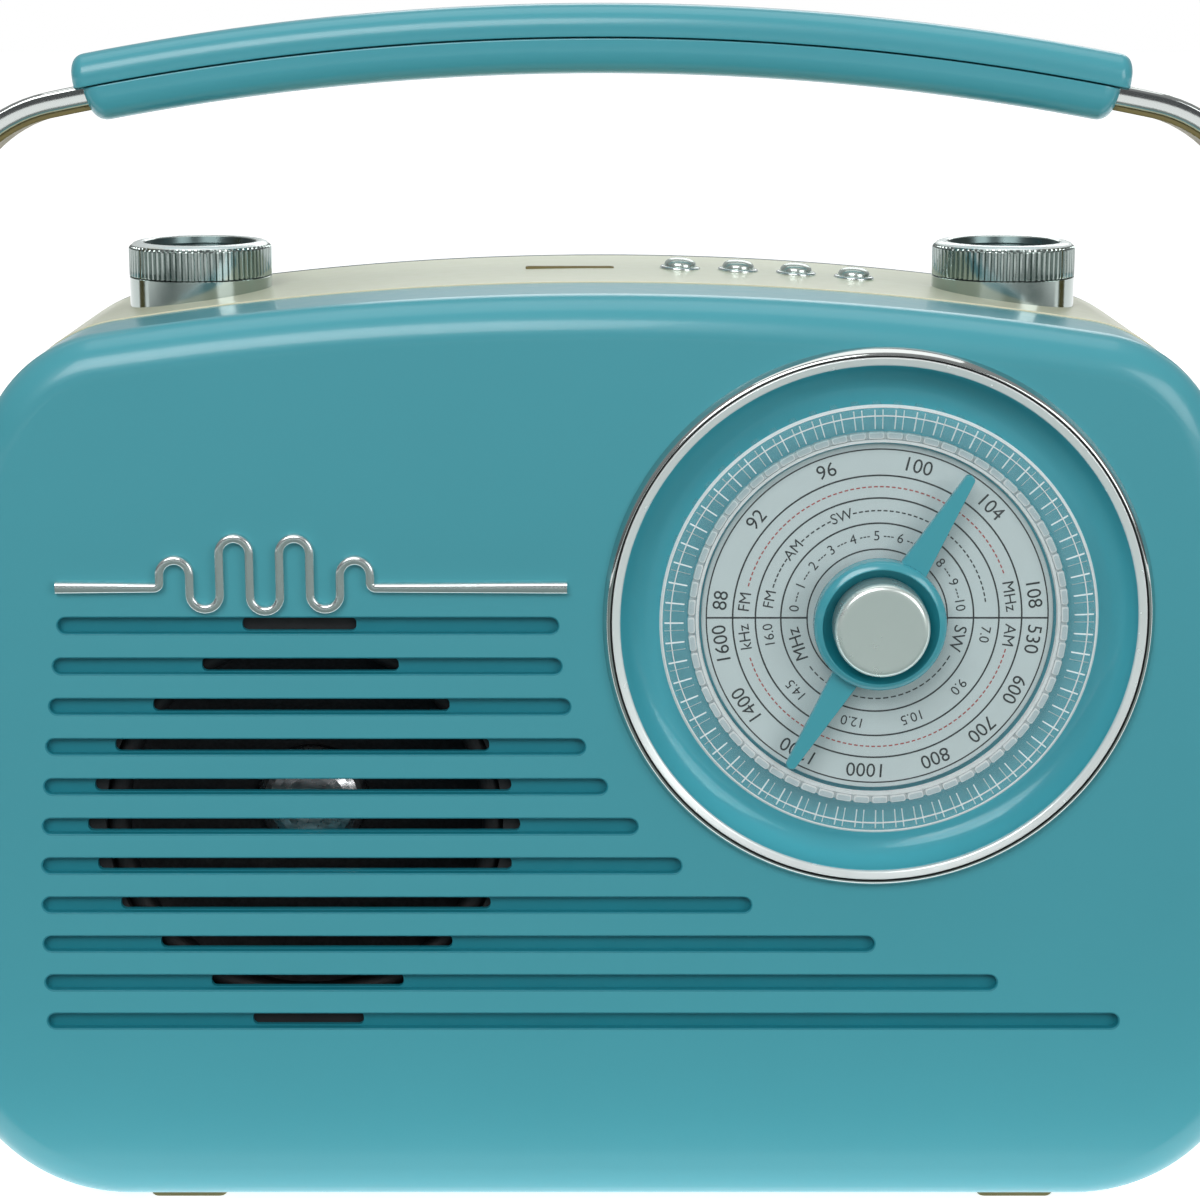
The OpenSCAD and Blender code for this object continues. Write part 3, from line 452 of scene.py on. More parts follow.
# Near-white for the wheel's fine rings; on the teeth's chamfered fronts it is a painted highlight.
frosted_and_glint = clear_finish("frosted_rings_and_glints", (0.95, 0.97, 0.97), (1.0, 1.0, 1.0), 0.82, 0.25)
tooth_grey = clear_finish("frosted_teeth", (0.90, 0.93, 0.94), (0.70, 0.77, 0.80), 0.78, 0.22)

# ---- Outline of the case, made of the same tangent arcs as the CAD model ----

BODY_W, BODY_H, FOOT_H = 310.8, 216.2, 3.5
SIDE_R, SIDE_Z, ARCH_R = 510.0, 65.0, 730.0
SIDE_X = BODY_W / 2 - SIDE_R
ARCH_Z = FOOT_H + BODY_H - ARCH_R
FOOT_R, CORNER_R = 42.0, 33.0
FOOT_Z = FOOT_H + FOOT_R
FOOT_X = SIDE_X + math.sqrt((SIDE_R - FOOT_R) ** 2 - (FOOT_Z - SIDE_Z) ** 2)
centre_gap = Vector((SIDE_X, SIDE_Z - ARCH_Z))
corner_along = (
    (ARCH_R - CORNER_R) ** 2 - (SIDE_R - CORNER_R) ** 2 + centre_gap.length_squared
) / (2 * centre_gap.length)
corner_out = math.sqrt((ARCH_R - CORNER_R) ** 2 - corner_along ** 2)
gap_way = centre_gap.normalized()
CORNER_X = gap_way.x * corner_along + gap_way.y * corner_out
CORNER_Z = ARCH_Z + gap_way.y * corner_along - gap_way.x * corner_out


def turn_of(x, z):
    return math.degrees(math.atan2(z, x))


LOW_TURN = turn_of(FOOT_X - SIDE_X, FOOT_Z - SIDE_Z)
HIGH_TURN = turn_of(CORNER_X - SIDE_X, CORNER_Z - SIDE_Z)
ARCH_TURN = turn_of(CORNER_X, CORNER_Z - ARCH_Z)


def arc(cx, cz, r, a0, a1, steps):
    return [(cx + r * cos(a), cz + r * sin(a)) for a in between(a0, a1, steps)]


def outline(inset):
    """The case's outline moved inwards, as points in X and Z."""
    side = (
        arc(FOOT_X, FOOT_Z, FOOT_R - inset, -90, LOW_TURN, 24)
        + arc(SIDE_X, SIDE_Z, SIDE_R - inset, LOW_TURN, HIGH_TURN, 14)[1:-1]
        + arc(CORNER_X, CORNER_Z, CORNER_R - inset, HIGH_TURN, ARCH_TURN, 24)
    )
    top = arc(0, ARCH_Z, ARCH_R - inset, ARCH_TURN, 180 - ARCH_TURN, 40)[1:-1]
    return side + top + [(-x, z) for x, z in reversed(side)]


def case_loop(d, inset):
    return [at(x, z, d) for x, z in outline(inset)]


def roll(flat_d, way, radius, inset, steps=10):
    """Depths and insets of an edge that rolls from the side, at the given inset, into the flat."""
    return [
        (flat_d + way * radius * (1 - cos(a)), inset + radius * (1 - sin(a)))
        for a in between(90, 0, steps)
    ]


# ---- Front shell ----

BAND_START, BAND_END, BODY_D = 32.7, 93.9, 108.0
WALL, FACE_T = 3.0, 3.5
SLOT_H, SLOT_DEPTH, OPEN_H, RIM_R = 3.6, 2.0, 3.2, 0.4
HOLE_R = 59.7
OPEN_HALVES = [50, 48, 43, 34, 22.5, 13]


def side_at(z):
    return SIDE_X + math.sqrt(SIDE_R ** 2 - (z - SIDE_Z) ** 2)


def slot_z(i):
    return 145 - 9.5 * i


def slot_end(i):
    """The grooves' right ends follow the dial, and the last ones step out evenly."""
    near = DIAL.x - math.sqrt(72.8 ** 2 - (slot_z(min(i, 7)) - 145.6) ** 2)
    return near + 28.8 * max(0, i - 7)


def tube(form, x, z, outer, inner, d0, d1, steps=24):
    form.turn([(outer, d0), (outer, d1), (inner, d1), (inner, d0)], along_y(x, z), steps, loop=True)


def front_shell():
    form = Form()
    outside = [(BAND_START, 0.62), (BAND_START - 0.15, 0.42), (BAND_START - 0.5, 0.32), (24, 0.22)]
    outside += roll(0, 1, 9.4, 0.15, 12)
    rings = [form.ring(case_loop(d, inset)) for d, inset in outside]
    form.chain(rings)
    back = [(FACE_T + 7 * (1 - cos(a)), 3.9 + 7 * (1 - sin(a)))
            for a in between(0, 90, 6)] + [(BAND_START, 3.04)]
    inner = [form.ring(case_loop(d, inset)) for d, inset in back]
    form.chain(inner)
    form.bridge(inner[-1], rings[0])
    circle = [(DIAL.x + HOLE_R * cos(a), DIAL.z + HOLE_R * sin(a)) for a in between(0, 360, 160)[:-1]]
    hole = [form.ring(at(x, z, d) for x, z in circle) for d in (0, FACE_T)]
    form.bridge(*hole)
    front_holes, back_holes = [hole[0]], [hole[1]]
    # The grooves' lips, walls and floors take the darker teal: painted shade in the grooves.
    first_groove_face = len(form.faces)
    for i in range(11):
        z = slot_z(i)
        x0, x1 = 25.5 - side_at(z), slot_end(i)
        groove = []
        for a in between(0, 90, 3):
            grow = RIM_R * (1 - sin(a))
            groove.append(form.ring(
                at(x, y, RIM_R * (1 - cos(a)))
                for x, y in stadium(x0 - grow, x1 + grow, z, SLOT_H + 2 * grow)))
        groove.append(form.ring(at(x, y, SLOT_DEPTH) for x, y in stadium(x0, x1, z, SLOT_H)))
        form.chain(groove)
        half = OPEN_HALVES[abs(i - 5)]
        gap = [(SPEAKER.x + x, z + y) for x, y in box_loop(half, OPEN_H / 2, 1.3, 5)]
        gap_rings = [form.ring(at(x, y, d) for x, y in gap) for d in (SLOT_DEPTH, FACE_T)]
        form.bridge(*gap_rings)
        form.plane([groove[-1], gap_rings[0]])
        front_holes.append(groove[0])
        back_holes.append(gap_rings[1])
    painted_dark_faces = range(first_groove_face, len(form.faces))
    form.plane([rings[-1]] + front_holes)
    form.plane([inner[0]] + back_holes)
    for x, z in POSTS:
        tube(form, x, z, 4.5, 1.3, FACE_T - 0.4, 58)
    for x, z in BOARD_POSTS:
        tube(form, x, z, 3, 1.1, FACE_T - 0.4, 32)
    for x, z in SPEAKER_POSTS:
        tube(form, x, z, 3, 1.1, FACE_T - 0.4, 7)
    piece(form, "front_shell_skin", "case", teal, ["front_shell"],
          extras=[(teal_painted_shade, painted_dark_faces)])


POSTS = [(sx * x, z) for sx in (-1, 1) for x, z in ((130, 165), (135, 30))]
BOARD_POSTS = [(DIAL.x + sx * 54, z) for sx in (-1, 1) for z in (66, 186)]
SPEAKER_POSTS = [(SPEAKER.x + 55 * cos(a), SPEAKER.z + 55 * sin(a)) for a in (45, 135, 225, 315)]

# ---- Middle frame, with the thin lines where it meets the shells ----

PIVOT = middle("pivot_screws")
BUTTON_TILT = math.degrees(math.asin(40.1 / ARCH_R))
BUTTON_PITCH, BUTTON_R = 14.1, 3.9
CARD_X, CARD_W = middle("card_slot_trim").x, 21.4


def on_button(i):
    """Frame of one button: its origin is on the case top, and its Z points out."""
    dx = (i - 1.5) * BUTTON_PITCH
    return (
        Matrix.Translation((0, TOP_Y, ARCH_Z))
        @ Matrix.Rotation(math.radians(BUTTON_TILT), 4, "Y")
        @ Matrix.Translation((dx, 0, math.sqrt(ARCH_R ** 2 - dx ** 2)))
    )


def along_button(i):
    frame_of = on_button(i)
    return lambda u, v, h: frame_of @ Vector((u, v, h))


def rod(form, r, h0, h1, place, steps=48):
    form.turn([(0, h0), (r, h0), (r, h1), (0, h1)], place, steps)


def mid_frame():
    form = Form()
    section = [
        (BAND_START + 0.05, 0.35), (BAND_START + 0.2, 0.08), (BAND_START + 0.45, 0), (BAND_END - 0.45, 0),
        (BAND_END - 0.2, 0.08), (BAND_END - 0.05, 0.35), (BAND_END - 0.05, 2.6), (BAND_START + 3, 2.6),
        (BAND_START + 3, 4.6), (BAND_START - 2, 4.6), (BAND_START - 2, 3.1), (BAND_START + 0.05, 3.1),
    ]
    form.chain([form.ring(case_loop(d, inset)) for d, inset in section], loop=True)
    obj = solid(form)
    bosses, holes = Form(), Form()
    for side in (-1, 1):
        rod(bosses, 11, 140, 156.5, along_x(TOP_Y, PIVOT.z, side), 64)
        rod(bosses, 9, 205, 214.2, along_z(side * KNOB_X, TOP_Y))
        rod(holes, 2, 142, 160, along_x(TOP_Y, PIVOT.z, side))
        rod(holes, 3.55, 200, 230, along_z(side * KNOB_X, TOP_Y))
    for i in range(4):
        rod(holes, BUTTON_R + 0.15, -6, 6, along_button(i))
    slot = [[Vector((CARD_X + x, TOP_Y + y, z)) for x, y in box_loop(CARD_W / 2, 1.3, 0.5)]
            for z in (210, 224)]
    holes.chain_caps(slot)
    combine(obj, bosses, "UNION")
    combine(obj, holes)
    piece(obj, "mid_frame_skin", "case", cream, ["mid_frame"])


def seam_line(name, d0, d1, inset, depth, material):
    """A thin line round the case where two mouldings meet."""
    form = Form()
    section = [(d0, inset + depth), (d0, inset + 0.08), (d0 + 0.08, inset), (d1 - 0.08, inset),
               (d1, inset + 0.08), (d1, inset + depth)]
    form.chain([form.ring(case_loop(d, i)) for d, i in section], loop=True)
    piece(form, name, "case", material)


# ---- Rear shell and battery door ----

REBATE_Z, REBATE_D = 189, 96.5
BAY_X, BAY_Z0, BAY_Z1, BAY_D = 53, 24, 80, 76.7
HINGE_Z, HINGE_D, DOOR_T = 22.6, 106.9, 2.2
JACK_X, JACK_HEIGHTS = 100, (40, 60)
AERIAL_Z = middle("aerial_rod").z
AERIAL_X, AERIAL_D = middle("aerial_base").x, 102.5


def flared(form, loop_at, d_top, d_bottom, flare=0.35):
    """A cutter that opens out at the back face, so that the hole it leaves has a chamfered edge."""
    form.chain_caps([
        [at(x, z, d) for x, z in loop_at(grow)]
        for d, grow in ((d_bottom, 0), (d_top - flare, 0), (d_top, flare), (d_top + 1, flare))
    ])


def rear_loft(form, inset, start_d, flat_d, radius, steps=12):
    path = [(start_d, inset)] + roll(flat_d, -1, radius, inset + 0.2, steps)
    return [form.ring(case_loop(d, i)) for d, i in path]


def rear_shell():
    form = Form()
    outer = [form.ring(case_loop(d, i))
             for d, i in ((BAND_END + 0.05, 0.8), (BAND_END + 1.9, 0.8), (BAND_END + 1.95, 0.2))]
    outer += rear_loft(form, 0.03, BAND_END + 2.1, BODY_D, 11.9)
    inner = rear_loft(form, 3.0, BAND_END + 0.05, BODY_D - 3, 10, 6)
    form.chain(outer)
    form.chain(inner)
    form.bridge(outer[0], inner[0])
    form.cap(outer[-1])
    form.cap(inner[-1])
    obj = solid(form)

    ledge = Form()
    rings = rear_loft(ledge, 1.2, BAND_END + 0.05, BODY_D - 1.2, 11.8, 8)
    ledge.chain(rings)
    ledge.cap(rings[0])
    ledge.cap(rings[-1])
    ledge = solid(ledge)
    upper = Form()
    upper.box(-200, 200, 90, 120, REBATE_Z - 3, 230)
    combine(ledge, upper, "INTERSECT")
    merge(obj, ledge, "UNION")

    added = Form()
    added.box(-BAY_X - 2, BAY_X + 2, BAY_D - 2, BODY_D - 1, HINGE_Z - 5, BAY_Z1 + 2)
    for z in JACK_HEIGHTS:
        rod(added, 7, BODY_D - 5.2, BODY_D - 1, along_y(JACK_X, z))
    for x, z in POSTS:
        rod(added, 4.5, 58.2, BODY_D - 2.5, along_y(x, z))
    combine(obj, added, "UNION")

    rebate = Form()
    section = rounded(
        [(REBATE_D, 240), (REBATE_D, REBATE_Z), (BODY_D - 0.4, REBATE_Z), (BODY_D + 1, REBATE_Z - 1.4),
         (BODY_D + 4, REBATE_Z - 1.4), (BODY_D + 4, 240)], {1: 0.8})
    rebate.chain_caps([[at(x, z, d) for d, z in section] for x in (-200, 200)])
    combine(obj, rebate)

    recess = Form()
    door_z = (HINGE_Z - 1.6 + BAY_Z1 + 3) / 2
    half_z = (BAY_Z1 + 3 - HINGE_Z + 1.6) / 2
    flared(recess, lambda g: [(x, door_z + z) for x, z in box_loop(BAY_X + 3 + g, half_z + g, 1.6 + g)],
           BODY_D, BODY_D - DOOR_T, 0.25)
    combine(obj, recess)
    bay = Form()
    bay.box(-BAY_X, BAY_X, BAY_D, BODY_D + 1, BAY_Z0, BAY_Z1)
    combine(obj, bay)

    holes = Form()
    hinge = [(0, BAY_X + 5), (1.25, BAY_X + 5), (1.25, BAY_X + 3), (2.3, BAY_X + 3)]
    holes.turn([(r, -h) for r, h in hinge] + hinge[::-1], along_x(FACE + HINGE_D, HINGE_Z), 48)
    for x, z in POSTS:
        ring_cutter(holes, x, z, 3.3, 70, [(0, 57), (1.7, 57), (1.7, 70)])
    for i in range(-4, 5):
        flared(holes, lambda g: [(9 * i + x, 135 + z) for x, z in box_loop(1.2 + g, 23 + g, 1.19 + g, 6)],
               BODY_D, BODY_D - 5)
    for z in JACK_HEIGHTS:
        ring_cutter(holes, JACK_X, z, 4.12, BODY_D - 6)
    rod(holes, 2.55, BAND_END - 1, REBATE_D + 1, along_y(AERIAL_X, AERIAL_Z))
    holes.turn([(0, BODY_D - 1.2), (9, BODY_D - 1.2), (11, BODY_D - 0.6), (12, BODY_D + 0.1),
                (12, BODY_D + 1), (0, BODY_D + 1)],
               lambda u, v, h: at(u * 1.15, BAY_Z1 + 3.2 + v * 0.42, h), 48)
    combine(obj, holes)
    piece(obj, "rear_shell_skin", "case", teal, ["rear_shell", "rear_ledge"], angle=24)


def ring_cutter(form, x, z, r, d0, start=None):
    """A round hole from the back, with a chamfered mouth, after a narrower start if one is given."""
    form.turn((start or [(0, d0)])
              + [(r, d0), (r, BODY_D - 0.4), (r + 0.4, BODY_D), (r + 0.4, BODY_D + 1), (0, BODY_D + 1)],
              along_y(x, z), 48)


def battery_door():
    form = Form()
    low, high = HINGE_Z - 1.3, BAY_Z1 + 2.7
    mid_z, half_z = (low + high) / 2, (high - low) / 2
    steps = ((BODY_D - DOOR_T, 0.3), (BODY_D - DOOR_T + 0.2, 0), (BODY_D - 0.45, 0), (BODY_D - 0.12, 0.13),
             (BODY_D, 0.45))
    form.chain_caps([
        [at(x, mid_z + z, d) for x, z in box_loop(BAY_X + 2.7 - cut, half_z - cut, 1.4 - cut * 0.8, 5)]
        for d, cut in steps
    ])
    obj = solid(form)
    grooves = Form()
    for i in range(5):
        z = BAY_Z1 - 5.4 - 3 * i
        flared(grooves, lambda g: stadium(-24 - g, 24 + g, z, 1.3 + 2 * g), BODY_D, BODY_D - 0.8, 0.3)
    combine(obj, grooves)
    pins = Form()
    for side in (-1, 1):
        rod(pins, 1.2, BAY_X - 0.5, BAY_X + 4.6, along_x(FACE + HINGE_D, HINGE_Z, side), 32)
    combine(obj, pins, "UNION")
    piece(obj, "battery_door_skin", "battery_door", teal, ["battery_door"], angle=24)


# ---- Feet ----

def feet():
    form = Form()
    for sx in (-1, 1):
        for d0 in (12.8, 72.8):
            levels = ((0, 2.2), (0.15, 1.85), (0.5, 1.55), (FOOT_H, 0.1), (FOOT_H + 1.5, 0.1))
            form.chain_caps([
                [Vector((sx * 100 + x, FACE + d0 + 8 + y, z))
                 for x, y in box_loop(10.5 - cut, 8 - max(0, cut - 1.5), 1.4, 5)]
                for z, cut in levels
            ])
    piece(form, "feet_skin", "case", tan, ["feet"])


# ---- Badge: a bar with a burst of sound waves ----

def badge():
    """Sweeps a crowned section along the bar and its waves."""
    z0, r, half = 154, 3.4, 1.1
    turns = [3, -1.5, 8, -2, 8, -1.5, 3]
    x = -100
    path = [(-123.6, z0), (x - 1.2, z0)]
    bend = 1.2
    path += arc(x - bend, z0 + bend, bend, -90, 0, 5)[1:]
    for i, height in enumerate(turns):
        up = i % 2 == 0
        sweep = (180, 0) if up else (180, 360)
        path += arc(x + r, z0 + height, r, *sweep, 14)
        x += 2 * r
    path += arc(x + bend, z0 + bend, bend, 180, 270, 5)
    path += [(-7.9, z0)]
    lines = []
    for i, here in enumerate(path):
        before = Vector(here) - Vector(path[i - 1]) if i else None
        after = Vector(path[i + 1]) - Vector(here) if i + 1 < len(path) else None
        way = ((before.normalized() if before and before.length > 1e-6 else Vector((0, 0)))
               + (after.normalized() if after and after.length > 1e-6 else Vector((0, 0)))).normalized()
        lines.append((Vector(here), Vector((-way.y, way.x))))
    section = [(1, 0.05), (1, -0.9), (0.94, -1.3), (0.78, -1.58), (0.5, -1.74), (0.2, -1.8)]
    section += [(-u, d) for u, d in reversed(section)]
    form = Form()
    loops = []
    for i, (here, side) in enumerate(lines):
        wave = -101.5 < here.x < -51
        width = half if wave else 1.4
        loops.append([at(here.x + side.x * u * width, here.y + side.y * u * width, d) for u, d in section])
    form.chain_caps(loops)
    piece(form, "badge_bar", "case", satin, ["badge_trim"], angle=40)


# ---- Dial ----

DIAL_R = 62.7


def bezel():
    """Chrome ring: an outer slope with a fine groove painted black as a painted dark reflection, and a band
    that leans in towards the dial, in a bright finish that is a painted highlight.
    """
    r = DIAL_R
    steps = 192
    slope = [(r, 0.7), (r, -0.1), (r - 0.04, -0.3), (r - 0.75, -1.75), (r - 1.15, -2.15), (r - 1.5, -2.35),
             (r - 1.7, -2.35)]
    groove = [(r - 1.75, -1.3), (r - 2.14, -1.3)]
    ring = Form()
    ring.turn(slope + groove + [(r - 2.14, 0.7)], along_y(DIAL.x, DIAL.z), steps, loop=True)
    # The groove faces are painted black: a painted dark reflection line in the chrome.
    painted_dark_faces = range((len(slope) - 1) * steps, (len(slope) + len(groove)) * steps)
    piece(ring, "dial_bezel_ring", "case", chrome, ["dial_bezel"], angle=40,
          extras=[(black, painted_dark_faces)])
    band = Form()
    section = rounded(
        [(r - 2.15, 0.7), (r - 2.15, -2.3), (r - 2.35, -2.5), (r - 3.85, -2.0), (r - 4.1, -1.5),
         (r - 3.9, -0.7), (r - 3.2, 0.0), (r - 3.2, 1.5), (r - 2.6, 1.5), (r - 2.6, 0.7)],
        {2: 0.12, 3: 0.25, 4: 0.4, 5: 0.5, 6: 0.5})
    band.turn(section, along_y(DIAL.x, DIAL.z), steps, loop=True)
    piece(band, "dial_bezel_band", "case", rim_highlight_metal, angle=40)


def dish():
    profile = [(60, 1.6), (60, FACE_T), (63.5, FACE_T), (63.5, 5.5), (60.6, 5.5), (54, 11), (38.6, 11),
               (38.6, 6.6), (6, 6.6), (6, 4.6), (40.2, 4.6), (40.6, 5.0), (40.6, 8.6), (41, 9)]
    profile += [(52 + 7.4 * cos(a), 1.6 + 7.4 * sin(a)) for a in between(90, 0, 14)]
    form = Form()
    form.turn(profile, along_y(DIAL.x, DIAL.z), 160, loop=True)
    piece(form, "dial_dish_skin", "case", teal_bowl, ["dial_dish"])


def scale_disc():
    form = Form()
    form.turn([(40.2, 3.95), (40.05, 3.8), (8, 3.8), (8, 4.6), (40.2, 4.6)], along_y(DIAL.x, DIAL.z), 160,
              loop=True)
    piece(form, "dial_scale_disc", "case", card, ["dial_scale"])


INK_D = (3.76, 3.84)


def printed(r, angle):
    return DIAL.x + r * cos(angle), DIAL.z + r * sin(angle)


def ink_arc(form, r, width, a0, a1, steps):
    loops = []
    for a in between(a0, a1, steps):
        outer, inner = printed(r + width / 2, a), printed(r - width / 2, a)
        loops.append([at(*outer, INK_D[0]), at(*outer, INK_D[1]), at(*inner, INK_D[1]),
                      at(*inner, INK_D[0])])
    if abs(a1 - a0) >= 360:
        form.chain([form.ring(loop) for loop in loops[:-1]], loop=True)
    else:
        form.chain_caps(loops)


def dashes(form, r, a0, a1, dash, gap, width):
    """Dashes along a circle from one angle down to another, in millimetres along it."""
    pitch = math.degrees((dash + gap) / r)
    count = max(1, round(abs(a1 - a0) / pitch))
    for i in range(count):
        middle_of = a0 + (a1 - a0) * (i + 0.5) / count
        half = math.degrees(dash / 2 / r)
        ink_arc(form, r, width, middle_of - half, middle_of + half, 2)


def lettering(name, labels, material):
    """Raised print: each label is text, radius, angle and height, with its top towards the rim."""
    made = []
    for text, r, angle, height in labels:
        curve = bpy.data.curves.new("label", "FONT")
        curve.body = text
        curve.size = height / 0.72 * MM
        curve.align_x = "CENTER"
        curve.align_y = "CENTER"
        curve.extrude = (INK_D[1] - INK_D[0]) / 2 * MM
        curve.resolution_u = 4
        label = bpy.data.objects.new("label", curve)
        bpy.context.scene.collection.objects.link(label)
        x, z = printed(r, angle)
        label.matrix_world = (
            Matrix.Translation(at(x, z, (INK_D[0] + INK_D[1]) / 2) * MM)
            @ Matrix.Rotation(math.radians(90 - angle), 4, "Y")
            @ Matrix.Rotation(math.radians(90), 4, "X")
        )
        bpy.context.view_layer.update()
        mesh = bpy.data.meshes.new_from_object(label.evaluated_get(bpy.context.evaluated_depsgraph_get()))
        mesh.transform(label.matrix_world)
        made.append(mesh)
        bpy.data.objects.remove(label)
    work = bmesh.new()
    for mesh in made:
        work.from_mesh(mesh)
        bpy.data.meshes.remove(mesh)
    bmesh.ops.remove_doubles(work, verts=work.verts, dist=2e-7)
    turn_outwards(work)
    whole = bpy.data.meshes.new(name)
    work.to_mesh(whole)
    work.free()
    obj = bpy.data.objects.new(name, whole)
    bpy.context.scene.collection.objects.link(obj)
    piece(obj, name, "case", material)


def dial_print():
    lines = Form()
    for r, width in ((39, 0.32), (33, 0.38), (27.8, 0.38), (22, 0.38), (16, 0.34)):
        ink_arc(lines, r, width, 0, 360, 144)
    for side in (-1, 1):
        x0, x1 = sorted((DIAL.x + side * 16, DIAL.x + side * 39))
        lines.box(x0, x1, *INK_D, DIAL.z - 0.2, DIAL.z + 0.2)
    dashes(lines, 24.9, 164, 146, 0.9, 0.5, 0.32)
    dashes(lines, 24.9, 135.5, 115.5, 0.9, 0.5, 0.32)
    dashes(lines, 24.9, 104.5, 8, 0.9, 0.5, 0.32)
    for i in range(10):
        start = 173.4 - 16.4 * i
        dashes(lines, 19, start - 4.4, start - 12, 0.6, 0.3, 0.28)
    dashes(lines, 19, -144, -27, 1.2, 0.6, 0.3)
    piece(lines, "dial_lines", "case", ink_black)
    red = Form()
    dashes(red, 30.4, 166.5, 19.5, 0.85, 0.5, 0.3)
    dashes(red, 30.4, -162.5, -13.5, 0.85, 0.5, 0.3)
    piece(red, "dial_dashes", "case", ink_red)
    labels = [(t, 35.9, a, 3.35) for t, a in (
        ("88", 173.5), ("92", 140.7), ("96", 109.7), ("100", 76.4), ("104", 45.8), ("108", 9.1),
        ("530", -8), ("600", -28), ("700", -47), ("800", -67), ("1000", -93), ("1200", -119),
        ("1400", -145), ("1600", -170))]
    labels += [(t, 30.4, a, 2.7) for t, a in (("FM", 173), ("MHz", 9.6), ("kHz", -171.4), ("AM", -7.8))]
    labels += [(t, 24.9, a, 2.5) for t, a in (("FM", 170), ("AM", 140.8), ("SW", 110))]
    labels += [(t, 24.9, a, 2.35) for t, a in (
        ("16.0", -170.5), ("14.5", -137), ("12.0", -102), ("10.5", -70), ("9.0", -40.5), ("7.0", -9))]
    labels += [(str(i), 19, 173.4 - 16.4 * i, 2.3) for i in range(11)]
    labels += [("MHz", 19, -161, 3.0), ("SW", 19, -14.5, 3.0)]
    lettering("dial_figures", labels, ink_black)


def wheel():
    """Clear tuning wheel: a plate over the scale and a deep rim with ribs."""
    ribs = 64
    # One rib: where along its pitch each point stands, and how far it is raised
    rib = [(0.0, 0), (0.06, 1), (0.16, 1), (0.27, 1), (0.38, 1), (0.44, 0), (0.62, 0), (0.81, 0)]
    flanks = (0, 4)
    spots = [(360 * (i + share) / ribs, raised) for i in range(ribs) for share, raised in rib]

    def rim_loop(d, base, rib_height, lift=0.0):
        return [at(*printed(base + rib_height * raised, angle), d - lift * raised)
                for angle, raised in spots]

    form = Form()
    rings = [form.ring(rim_loop(*values)) for values in (
        (6.4, 48.5, 0.9), (6.0, 48.7, 1.1), (0.7, 48.7, 1.1), (0.45, 49.6, 0.2), (-0.35, 49.8, 0),
        (-0.75, 49.45, 0), (-0.85, 49.1, 0), (-0.85, 48.7, 0), (-0.85, 48.55, 0, 0.35),
        (-0.85, 44.45, 0, 0.35), (-0.85, 44.3, 0), (-0.85, 43.9, 0), (-0.2, 43.4, 0), (3.2, 43.2, 0),
        (6.4, 43.2, 0))]
    form.chain(rings, loop=True)
    # The rib flanks and the rim's outer front edge take painted highlights.
    rib_start, rib_end = 7 * len(spots), 10 * len(spots)
    painted_glint_faces = [i for i in range(rib_start, rib_end) if i % len(rib) in flanks]
    painted_glint_faces += list(range(4 * len(spots), 5 * len(spots)))
    piece(form, "tuning_wheel_rim", "tuner", clear, ["tuning_wheel"], angle=28,
          extras=[(clear_rim_glint, painted_glint_faces)])

    plate = Form()
    plate.turn([(43.2, -0.6), (42.9, -1.1), (42.3, -1.3), (9.5, -1.3), (9.5, 0.7), (43.2, 0.7)],
               along_y(DIAL.x, DIAL.z), 128, loop=True)
    piece(plate, "tuning_wheel_plate", "tuner", clear_plate)

    teeth = Form()
    painted_highlight_faces = []
    for i in range(ribs):
        middle_of = 360 * (i + 0.3) / ribs
        loops = []
        for d, cut in ((2.6, 0.0), (1.5, 0.0), (1.2, 0.12), (1.1, 0.32)):
            loop = []
            for u, v in box_loop(1.86 - cut, 0.85 - cut, 0.45, 3):
                a = middle_of - math.degrees(u / 42.6)
                loop.append(at(*printed(42.5 + v, a), d))
            loops.append(loop)
        first = len(teeth.faces)
        teeth.chain_caps(loops)
        # The chamfered fronts of the teeth take the near-white: painted highlights.
        painted_highlight_faces += range(first + len(loop), first + 3 * len(loop))
    piece(teeth, "tuning_wheel_teeth", "tuner", tooth_grey,
          extras=[(frosted_and_glint, painted_highlight_faces)])

    rings = Form()
    for section in ([(41.55, 2.6), (41.55, 1.5), (40.9, 1.5), (40.7, 2.6)],
                    [(43.15, 3.2), (43.15, 2.1), (41.65, 2.1), (41.65, 3.2)],
                    [(49.45, -0.8), (49.35, -0.92), (49.15, -0.92), (49.1, -0.8)],
                    [(47.45, -0.85), (47.4, -1.24), (47.2, -1.24), (47.15, -0.85)]):
        rings.turn(section, along_y(DIAL.x, DIAL.z), 160, loop=True)
    piece(rings, "tuning_wheel_rings", "tuner", frosted_and_glint)

    hub = Form()
    hub.turn([(3.02, -1.3), (9.5, -1.3), (9.5, 0.7), (6, 0.7), (6, 3.4), (3.02, 3.4)],
             along_y(DIAL.x, DIAL.z), 64, loop=True)
    piece(hub, "tuning_wheel_hub", "tuner", nylon)


